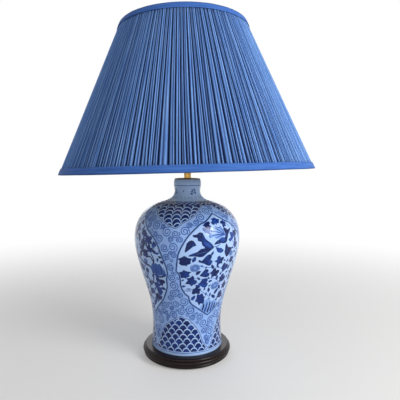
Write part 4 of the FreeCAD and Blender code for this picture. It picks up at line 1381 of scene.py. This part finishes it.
@dataclass
class Vase:
    """The porcelain body, hollow as it was thrown, with its painted wall. Sizes in mm."""

    lip_round: float = 0.8
    mouth_radius: float = 21.6
    bore_radius: float = 16.6
    wall_mm: float = 4.8
    foot_ring: float = 5.5
    foot_bevel: float = 0.8
    foot_recess: float = 5.0
    floor_mm: float = 7.0
    drill_radius: float = 6.045
    glaze_edge: float = 0.5       # above the foot, where the bare biscuit ends
    inner_map: float = 0.13       # share of the map's height that the unpainted wall takes
    outer_map: Spot = (0.14, 0.86)     # where the painted wall begins on the map, and its share
    near_wall: float = 0.3        # from the outline, within which a corner is on the outside
    seed: int = 20

    def inside_profile(self, wall: Wall) -> list[Spot]:
        """The outline from the lip over the mouth, down the inside and round the foot.

        Args:
            wall: the painted wall.

        Returns:
            The stations as radius and height, in mm.
        """
        top = wall.FOOT + wall.STATIONS[-1][1]
        profile = [(self.mouth_radius, top - self.lip_round)]
        for step in (1, 2, 3):
            angle = math.pi / 2 * step / 3
            profile.append((self.mouth_radius - self.lip_round * (1 - math.cos(angle)),
                            top - self.lip_round * (1 - math.sin(angle))))
        profile += [(self.bore_radius + 0.5, top), (self.bore_radius, top - 0.5),
                    (self.bore_radius, top - 7)]
        for radius, height in wall.STATIONS[9:0:-1]:
            s = wall.up_to(wall.FOOT + height)
            r, z, out = wall.at(s)
            profile.append((r - out.x * self.wall_mm, z - out.y * self.wall_mm))
        floor = wall.FOOT + self.foot_recess + self.floor_mm
        foot = wall.STATIONS[0][0]
        inside = foot - self.foot_bevel - self.foot_ring
        profile += [
            (foot - self.wall_mm - self.floor_mm, floor), (self.drill_radius, floor),
            (self.drill_radius, wall.FOOT + self.foot_recess),
            (inside - 1.0, wall.FOOT + self.foot_recess),
            (inside, wall.FOOT + self.foot_recess - 1.0), (inside, wall.FOOT + 0.4),
            (inside + 0.4, wall.FOOT), (foot - self.foot_bevel, wall.FOOT),
            (foot, wall.FOOT + wall.STATIONS[0][1]),
        ]
        return profile

    def build(self, finishes: Palette) -> bpy.types.Object:
        """Make the vase.

        Args:
            finishes: the lamp's materials.

        Returns:
            The piece.
        """
        wall = Wall()
        wall.length = wall.up_to(wall.FOOT + wall.STATIONS[-1][1] - self.lip_round)
        painting = Painting(wall, self.seed)
        Decoration(painting).paint()
        spots, triangles, inks = painting.sheet()
        work = bmesh.new()
        ink_layer = work.faces.layers.float.new("ink_face")
        bake = work.loops.layers.uv.new("OFBake")
        verts = [work.verts.new(wall.in_space(spot.x / painting.ACROSS, spot.y, MM))
                 for spot in spots]
        span = 2 * painting.FAR * painting.ACROSS
        start, share = self.outer_map
        for triangle, ink in zip(triangles, inks):
            face = work.faces.new([verts[i] for i in triangle])
            face[ink_layer] = ink
            for loop, i in zip(face.loops, triangle):
                loop[bake].uv = (spots[i].x / span + 0.5,
                                 start + share * spots[i].y / wall.length)
        bmesh.ops.delete(work, geom=[v for v in work.verts if not v.link_faces],
                         context="VERTS")
        painted = set(work.faces)
        profile = self.inside_profile(wall)
        spun(work, [(r * MM, z * MM) for r, z in profile], painting.COLUMNS)
        reach = [0.0]
        for a, b in zip(profile, profile[1:]):
            reach.append(reach[-1] + math.hypot(b[0] - a[0], b[1] - a[1]))

        def place(turn: float, co: Vector) -> Spot:
            """The map's place of a corner of the unpainted wall, by its nearest station.

            Args:
                turn: its share of the turn.
                co: its place.

            Returns:
                Its u and v.
            """
            radius, z = math.hypot(co.x, co.y) / MM, co.z / MM
            k = min(range(len(profile)),
                    key=lambda i: abs(profile[i][0] - radius) + abs(profile[i][1] - z))
            return (turn + 0.5, self.inner_map * reach[k] / reach[-1])

        bare = [face for face in work.faces if face not in painted]
        unroll(bare, bake, place)
        for face in bare:
            if face.calc_center_median().z / MM < wall.FOOT + self.glaze_edge:
                face.material_index = 1
        bmesh.ops.remove_doubles(work, verts=work.verts, dist=2 * MERGE)
        bmesh.ops.recalc_face_normals(work, faces=work.faces)
        LOG.info("vase: %d open edges", sum(not edge.is_manifold for edge in work.edges))
        piece = finish_piece("painted_vase", work, "root", "vase",
                             [finishes["porcelain"], finishes["biscuit"]])
        self._smooth(piece.data, wall)
        return piece

    def _smooth(self, mesh: bpy.types.Mesh, wall: Wall) -> None:
        """Give each corner of the painted wall its ink and the wall's own direction.

        Args:
            mesh: the vase.
            wall: the painted wall.
        """
        low = wall.FOOT + wall.STATIONS[0][1]
        high = wall.FOOT + wall.STATIONS[-1][1] - self.lip_round

        def beside(co: Vector) -> tuple[float, float, Vector]:
            """The wall's radius, height and direction beside a point."""
            return wall.at(wall.up_to(min(high, max(low, co.z / MM))))

        inks = mesh.attributes["ink_face"].data
        corner_ink = mesh.attributes.new("ink", "FLOAT", "CORNER")
        normals = []
        for polygon in mesh.polygons:
            value = inks[polygon.index].value
            corners = [mesh.vertices[v].co for v in polygon.vertices]
            outer = all(abs(math.hypot(*co.xy) / MM - beside(co)[0]) < self.near_wall
                        for co in corners)
            for loop, co in zip(polygon.loop_indices, corners):
                corner_ink.data[loop].value = value
                out, flat = beside(co)[2], co.xy.normalized()
                normals.append((flat.x * out.x, flat.y * out.x, out.y) if outer
                               else (0.0, 0.0, 0.0))
        mesh.normals_split_custom_set(normals)


# ---- shade --------------------------------------------------------------------------------
@dataclass
class ShadeForm:
    """The cone that the shade's cloths follow, leaned with the harp. Lengths in metres."""

    bottom: float = 0.31115
    height: float = 0.2357
    bottom_radius: float = 0.207
    top_radius: float = 0.104
    pivot: float = 0.32095
    lean: float = math.radians(-1.92)

    def slope(self) -> float:
        """The angle of the wall from upright."""
        return math.atan2(self.bottom_radius - self.top_radius, self.height)

    def radius(self, z: float, inset: float) -> float:
        """The radius at a height of the upright shade, a square inset below its outside."""
        share = (z - self.bottom) / self.height
        return lerp(self.bottom_radius, self.top_radius, share) - inset / math.cos(self.slope())

    def leaned(self, work: bmesh.types.BMesh) -> None:
        """Lean a mesh that was worked upright.

        Args:
            work: the mesh.
        """
        middle = Vector((0, 0, self.pivot))
        bmesh.ops.rotate(work, verts=work.verts, cent=middle,
                         matrix=Matrix.Rotation(self.lean, 3, "Y"))


@dataclass
class PleatedCover:
    """Cloth gathered into hand-laid pleats from ring to ring. Lengths in metres."""

    form: ShadeForm
    pleats: int = 156
    rows: int = 14
    seed: int = 7
    inset: float = 0.00115
    edge: float = 0.0011
    depth: float = 0.0031
    thread: float = 0.00025
    slack: float = 0.0003
    least_inset: float = 0.0009
    full_width: float = 2.15

    # A pleat from gap to gap: share of its width, share of its depth, share of its crease.
    FOLD = ((0.0, 1.0, 0), (0.07, 0.98, 0), (0.12, 0.62, 0), (0.17, 0.26, 0),
            (0.235, 0.07, 0), (0.305, 0.0, 0), (0.38, 0.14, 0.2), (0.44, 0.28, 0.8),
            (0.5, 0.36, 1.0), (0.56, 0.28, 0.8), (0.62, 0.14, 0.2), (0.695, 0.0, 0),
            (0.765, 0.07, 0), (0.83, 0.26, 0), (0.88, 0.62, 0), (0.93, 0.98, 0))

    def build(self, finishes: Palette) -> bpy.types.Object:
        """Make the cover.

        Args:
            finishes: the lamp's materials.

        Returns:
            The piece.
        """
        pick = random.Random(self.seed)
        widths = [max(0.5, pick.gauss(1, 0.24)) for _ in range(self.pleats)]
        total = sum(widths)
        starts = [0.0]
        for width in widths:
            starts.append(starts[-1] + width / total)
        drift = [(pick.gauss(0, 0.16), pick.gauss(0, 0.2), pick.gauss(0, 0.1))
                 for _ in range(self.pleats)]
        drift.append(drift[0])
        deep = [pick.uniform(0.8, 1.0) for _ in range(self.pleats)]
        deep.append(deep[0])
        crease = [(pick.uniform(-0.12, 0.12), pick.choice((0.25, 0.6, 0.8, 0.9, 1.0)),
                   pick.uniform(0.4, 0.95)) for _ in range(self.pleats)]
        bulge = [pick.uniform(-0.0004, 0.0003) for _ in range(self.pleats)]
        worn = [pick.choice((0.0, 0.0, 0.05, 0.14, 0.26, 0.4)) for _ in range(self.pleats)]
        columns = self.pleats * len(self.FOLD)
        work = bmesh.new()
        fold = work.verts.layers.float.new("fold")
        bmesh.ops.create_grid(work, x_segments=columns, y_segments=self.rows, size=0.5)
        cloth = work.loops.layers.uv.new("weave")
        low = self.form.bottom + self.edge
        high = self.form.bottom + self.form.height - self.edge
        slant = (high - low) / math.cos(self.form.slope())
        for face in work.faces:
            for loop in face.loops:
                co = loop.vert.co
                loop[cloth].uv = ((co.x + 0.5) * self.full_width, (co.y + 0.5) * slant)
        one = 1 / self.pleats
        for vert in work.verts:
            column = round((vert.co.x + 0.5) * columns)
            up = vert.co.y + 0.5
            k, sample = divmod(column, len(self.FOLD))
            across, sunk, creased = self.FOLD[sample]
            left = starts[k] + self._stray(drift[k], up) * one
            if k < self.pleats:
                right = starts[k + 1] + self._stray(drift[(k + 1) % self.pleats], up) * one
                line, strength, reach = crease[k]
                bow, kept = bulge[k], worn[k]
            else:
                right, line, strength, reach = left + one, 0.0, 0.0, 0.5
                bow, kept = bulge[0], worn[0]
            if creased:
                across += line
                sunk += (0.92 - sunk) * creased * strength * (1 - smooth_step(0.0, reach, up))
            share = left + (right - left) * across
            hollow = self.depth * lerp(deep[k], deep[(k + 1) % self.pleats], across)
            z = lerp(low, high, up)
            angle = TURN * share
            loose = noise.noise(Vector((math.cos(angle) * 2.3, math.sin(angle) * 2.3, up * 1.7)))
            inset = self.inset + hollow * sunk + (bow + self.slack * loose) * (1 - sunk)
            radius = self.form.radius(z, max(self.least_inset, inset))
            # painted shade: fold rises to 1 deep in the gaps between pleats, which darkens the
            # cloth there; on the pleats' faces it adds a random darkening per pleat
            vert[fold] = lerp(kept * smooth_step(0.3, 0.02, abs(across - 0.36)), 1.0,
                              min(1.0, max(0.0, sunk)) ** 0.5)
            vert.co = (radius * math.sin(angle), -radius * math.cos(angle), z)
        bmesh.ops.remove_doubles(work, verts=work.verts, dist=MERGE)
        bmesh.ops.recalc_face_normals(work, faces=work.faces)
        self.form.leaned(work)
        piece = finish_piece("pleated_cover", work, "shade", "shade_cover",
                             [finishes["blue_cloth"]], self.thread)
        return piece

    @staticmethod
    def _stray(drift: tuple[float, float, float], up: float) -> float:
        """How far a pleat's line strays at a height, in pleats."""
        return drift[0] * (1 - up) + drift[1] * up * 0.6 + drift[2] * 4 * up * (1 - up)


@dataclass
class Band:
    """A strip of cloth folded over an edge of the shade and stitched.

    The fold is given in mm, as the depth below the shade's outside and the height over its
    edge. The other lengths are in metres.
    """

    name: str
    node: str
    ring: str
    form: ShadeForm
    edge: float
    fold: tuple[Spot, ...]
    strip: float
    around: float
    seed: int
    steps: int = 360
    wrinkle: float = 0.00022
    # painted shade along the folded edge: how dark it is, and the distances from the edge, in
    # metres, over which it fades out
    edge_shade: float = 0.6
    edge_shade_from: float = 0.0002
    edge_shade_to: float = 0.0022

    def build(self, finishes: Palette) -> bpy.types.Object:
        """Spin the folded strip and pucker it.

        Args:
            finishes: the lamp's materials.

        Returns:
            The piece.
        """
        work = bmesh.new()
        layer = work.verts.layers.float.new("fold")
        profile = [(inset * MM, self.edge + rise * MM) for inset, rise in self.fold]
        rim = min((z for _, z in profile), key=lambda z: abs(z - self.edge))
        spun(work, [(-self.form.radius(z, inset), z) for inset, z in profile], self.steps)
        bmesh.ops.remove_doubles(work, verts=work.verts, dist=MERGE)
        unroll(work.faces, work.loops.layers.uv.new("weave"), lambda turn, co: (
            turn * self.around, co.z + math.hypot(co.x, co.y)))
        for vert in work.verts:
            angle = math.atan2(vert.co.x, -vert.co.y)
            flat = Vector((vert.co.x, vert.co.y, 0)).normalized()
            around = Vector((math.cos(angle), math.sin(angle), 0))
            fine = noise.noise(around * 26 + Vector((self.seed, vert.co.z * 90, 0)))
            slow = noise.noise(around * 5 + Vector((self.seed, vert.co.z * 30, 4)))
            # painted shade: darker along the band's folded edge, fading out within about 2 mm
            away = smooth_step(self.edge_shade_from, self.edge_shade_to, abs(vert.co.z - rim))
            vert[layer] = self.edge_shade * (1 - away)
            vert.co += flat * (fine * self.wrinkle + slow * self.wrinkle * 0.8)
            vert.co.z += slow * self.wrinkle * 0.9
        bmesh.ops.recalc_face_normals(work, faces=work.faces)
        self.form.leaned(work)
        piece = finish_piece(self.name, work, "shade", self.node,
                             [finishes["edge_band"]])
        return piece


@dataclass
class Lining:
    """Plain cloth stretched inside the frame, a little flatter between two ribs."""

    form: ShadeForm
    ribs: int = 8
    rows: int = 16
    steps: int = 192
    over_bottom: float = 0.0014
    under_top: float = 0.0044
    inset: float = 0.0078
    thick: float = 0.0005
    scallop: float = 0.0016
    ripple: float = 0.0003
    flat_width: float = 1.26
    flat_height: float = 0.262
    flat_area: float = 0.233

    def build(self, finishes: Palette) -> bpy.types.Object:
        """Make the lining.

        Args:
            finishes: the lamp's materials.

        Returns:
            The piece.
        """
        form = self.form
        low = form.bottom + self.over_bottom
        high = form.bottom + form.height - self.under_top
        heights = [lerp(low, high, k / self.rows) for k in range(self.rows + 1)]
        work = bmesh.new()
        spun(work, [(-form.radius(z, self.inset), z) for z in heights], self.steps)
        bmesh.ops.remove_doubles(work, verts=work.verts, dist=MERGE)
        unroll(work.faces, work.loops.layers.uv.new("weave"), lambda turn, co: (
            turn * self.flat_width, co.z / math.cos(form.slope())))
        for vert in work.verts:
            angle = math.atan2(vert.co.y, vert.co.x)
            up = (vert.co.z - low) / (high - low)
            between = abs(math.cos(self.ribs / 2 * angle)) ** 2
            middle = 4 * up * (1 - up)
            pull = self.scallop * between * min(1.0, middle * 1.4)
            ease = noise.noise(Vector((math.cos(angle) * 6, math.sin(angle) * 6, up * 2)))
            flat = Vector((vert.co.x, vert.co.y, 0)).normalized()
            vert.co -= flat * (pull + self.ripple * ease * middle)
        bmesh.ops.recalc_face_normals(work, faces=work.faces)
        form.leaned(work)
        piece = finish_piece("stretched_lining", work, "shade",
                             "shade_lining", [finishes["lining_cloth"]], self.thick)
        return piece


@dataclass
class Shade:
    """The shade's cloths round the wire frame that CAD gives."""

    form: ShadeForm = field(default_factory=ShadeForm)

    BOTTOM_FOLD = (
        (0.95, 9.9), (0.35, 10.0), (0.05, 9.5), (-0.05, 7.5), (-0.1, 5.0), (-0.05, 2.4),
        (0.1, 0.9), (0.6, 0.1), (1.6, -0.1), (5.0, -0.1), (8.2, 0.0), (9.2, 0.5), (9.5, 1.6),
        (9.5, 6.4), (9.3, 6.9), (8.9, 6.9), (8.75, 6.4), (8.75, 1.7), (8.3, 0.95),
        (5.0, 0.85), (1.6, 0.85), (0.95, 1.5), (0.85, 5.0), (0.95, 9.9),
    )
    TOP_FOLD = (
        (0.95, -8.9), (0.35, -9.0), (0.05, -8.5), (-0.05, -6.5), (-0.1, -4.0), (-0.05, -2.0),
        (0.1, -0.8), (0.6, -0.05), (1.6, 0.1), (5.0, 0.15), (7.8, 0.0), (8.3, -0.3),
        (8.2, -0.75), (7.6, -0.85), (5.0, -0.8), (1.6, -0.85), (0.95, -1.5), (0.85, -5.0),
        (0.95, -8.9),
    )

    def build(self, finishes: Palette) -> None:
        """Make the cover, the lining and both edge bands.

        Args:
            finishes: the lamp's materials.
        """
        low, high = self.form.bottom, self.form.bottom + self.form.height
        for cloth in (
            PleatedCover(self.form),
            Lining(self.form),
            Band("bottom_edge_band", "shade_bottom_trim", "shade_bottom_ring", self.form, low,
                 self.BOTTOM_FOLD, 0.026, 1.285, 3),
            Band("top_edge_band", "shade_top_trim", "shade_top_ring", self.form, high,
                 self.TOP_FOLD, 0.018, 0.64, 9),
        ):
            cloth.build(finishes)


@dataclass
class FeltPad:
    """The cut felt glued under the base."""

    radius: float = 0.0685
    thick: float = 0.0012
    steps: int = 160
    rings: int = 5
    soft_edge: float = 0.0003
    lumps: float = 0.00008

    def build(self, finishes: Palette) -> bpy.types.Object:
        """Make the pad with a soft cut edge and a lumpy face.

        Args:
            finishes: the lamp's materials.

        Returns:
            The piece.
        """
        work = bmesh.new()
        bmesh.ops.create_circle(work, cap_ends=True, radius=self.radius, segments=self.steps)
        top = bmesh.ops.extrude_face_region(work, geom=work.faces[:])["geom"]
        bmesh.ops.translate(work, vec=(0, 0, self.thick),
                            verts=[g for g in top if isinstance(g, bmesh.types.BMVert)])
        for _ in range(self.rings):
            caps = [f for f in work.faces if abs(f.normal.z) > 0.5 and len(f.verts) > 4]
            bmesh.ops.inset_region(work, faces=caps, thickness=self.radius / (self.rings + 2),
                                   depth=0)
        bmesh.ops.recalc_face_normals(work, faces=work.faces)
        rims = [e for e in work.edges if len(e.link_faces) == 2 and e.calc_face_angle() > 1]
        bmesh.ops.bevel(work, geom=rims, offset=self.soft_edge, offset_type="OFFSET",
                        segments=2, profile=0.5, affect="EDGES", material=-1)
        for vert in work.verts:
            lump = noise.noise(vert.co * 180)
            vert.co.z += max(0.0, self.lumps * lump) if vert.co.z < self.thick / 2 else 0.0
            flat = Vector((vert.co.x, vert.co.y, 0))
            if flat.length > self.radius * 0.98:
                vert.co += flat.normalized() * self.soft_edge * noise.noise(vert.co * 120)
        piece = finish_piece("glued_felt", work, "root", "felt_pad",
                             [finishes["felt"]])
        return piece


def dress(nodes: dict[str, bpy.types.Object], finishes: Palette) -> None:
    """Give each CAD node that stays the finish of its material slot.

    Args:
        nodes: the CAD nodes by name.
        finishes: the materials by slot.
    """
    for node in nodes.values():
        for slot in node.material_slots:
            name = slot.material.name.split(".")[0] if slot.material else ""
            slot.material = finishes.get(name, slot.material)
            LOG.info("%s: %s", node.name, name)


# ---- studio -------------------------------------------------------------------------------
@dataclass
class Studio:
    """Camera, floor and soft lamps. Places in metres, the camera's turns in radians."""

    place: tuple[float, float, float] = (0.0, -0.676, 0.3159)
    yaw: float = math.radians(-1.811)
    pitch: float = math.radians(4.466)
    roll: float = math.radians(0.367)
    lens: float = 35.94

    WHITE = (1, 1, 1, 1)
    SOFT = 0.3           # strength of the light from all round
    FADE = (0.2, 1.3)    # metres from the middle between which the floor turns white

    def camera(self) -> None:
        """The camera of the photograph."""
        data = bpy.data.cameras.new("camera")
        data.lens, data.sensor_width, data.clip_start = self.lens, 36.0, 0.01
        cy, sy = math.cos(self.yaw), math.sin(self.yaw)
        right = Vector((cy, sy, 0))
        ahead = Vector((-sy, cy, 0))
        up = Vector((0, 0, 1))
        look = ahead * math.cos(self.pitch) - up * math.sin(self.pitch)
        over = up * math.cos(self.pitch) + ahead * math.sin(self.pitch)
        side = right * math.cos(self.roll) + over * math.sin(self.roll)
        over = over * math.cos(self.roll) - right * math.sin(self.roll)
        turn = Matrix((side, over, -look)).transposed().to_4x4()
        view = stand("camera", data)
        view.matrix_world = Matrix.Translation(Vector(self.place)) @ turn
        bpy.context.scene.camera = view

    def lamp(self, name: str, place: tuple[float, float, float], size: float, power: float,
             tint: str) -> None:
        """One soft lamp that looks at the middle of the object.

        Args:
            name: its name.
            place: where it stands.
            size: the side of its square.
            power: its watts.
            tint: its colour as hex.
        """
        data = bpy.data.lights.new(name, "AREA")
        data.size, data.energy, data.color = size, power, linear(tint)[:3]
        lamp = stand(name, data)
        lamp.location = place
        aim = Vector((0, 0, 0.3)) - Vector(place)
        lamp.rotation_euler = aim.to_track_quat("-Z", "Y").to_euler()

    def seen(self, tree: bpy.types.NodeTree) -> bpy.types.Node:
        """1 where the camera sees a place, also in a reflection or through glass.

        Args:
            tree: the node tree.

        Returns:
            The node that gives it.
        """
        path = add(tree, "LightPath").outputs
        seen = path["Is Camera Ray"]
        for way in ("Is Glossy Ray", "Is Transmission Ray"):
            seen = add(tree, "Math", {0: seen, 1: path[way]}, operation="ADD", use_clamp=True)
        return seen

    def floor(self) -> None:
        """A pale floor that fades into the white background."""
        material = bpy.data.materials.new("pale_floor")
        material.use_nodes = True
        tree = material.node_tree
        shader = tree.nodes["Principled BSDF"]
        feed(shader, {"Base Color": linear("E4E3E1"), "Roughness": 0.9})
        place = add(tree, "TexCoord").outputs["Object"]
        reach = add(tree, "VectorMath", {0: place}, operation="LENGTH").outputs["Value"]
        fade = add(tree, "MapRange", {
            "Value": reach, "From Min": self.FADE[0], "From Max": self.FADE[1],
            "To Min": 0.25,
        }, interpolation_type="SMOOTHSTEP")
        share = add(tree, "Math", {0: self.seen(tree), 1: fade}, operation="MULTIPLY")
        white = add(tree, "Emission", {"Color": self.WHITE, "Strength": 1.0})
        mixed = add(tree, "MixShader", {0: share, 1: shader, 2: white})
        feed(tree.nodes["Material Output"], {"Surface": mixed})
        work = bmesh.new()
        bmesh.ops.create_circle(work, cap_ends=True, radius=6.0, segments=64)
        ground = stand("floor", mesh_of("floor", work))
        ground.location.z = -0.0002
        ground.data.materials.append(material)

    def world(self) -> None:
        """Soft light from all round, and white where it is seen."""
        world = bpy.data.worlds.new("studio")
        world.use_nodes = True
        tree = world.node_tree
        level = add(tree, "MapRange", {
            "Value": self.seen(tree), "To Min": self.SOFT, "To Max": 1.0,
        })
        feed(tree.nodes["Background"], {"Color": self.WHITE, "Strength": level})
        bpy.context.scene.world = world

    def build(self) -> None:
        """Set the whole studio up."""
        bpy.context.scene.view_settings.view_transform = "Standard"
        self.camera()
        self.floor()
        self.world()
        self.lamp("key_right", (0.95, -0.75, 0.75), 0.6, 13.5, "FFFFFF")
        self.lamp("front_fill", (-0.2, -1.4, 0.7), 1.0, 3.0, "F4F6FF")
        self.lamp("back_fill", (-0.1, 1.5, 0.9), 1.1, 5.5, "F4F6FF")


def main() -> None:
    """Build the lamp in order."""
    logging.basicConfig(level=logging.INFO, format="%(name)s: %(message)s")
    finishes = {slot: finish.build() for slot, finish in FINISHES.items()}
    Studio().build()
    dress(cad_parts, finishes)
    Vase().build(finishes)
    Shade().build(finishes)
    FeltPad().build(finishes)


if __name__ == "__main__":
    main()
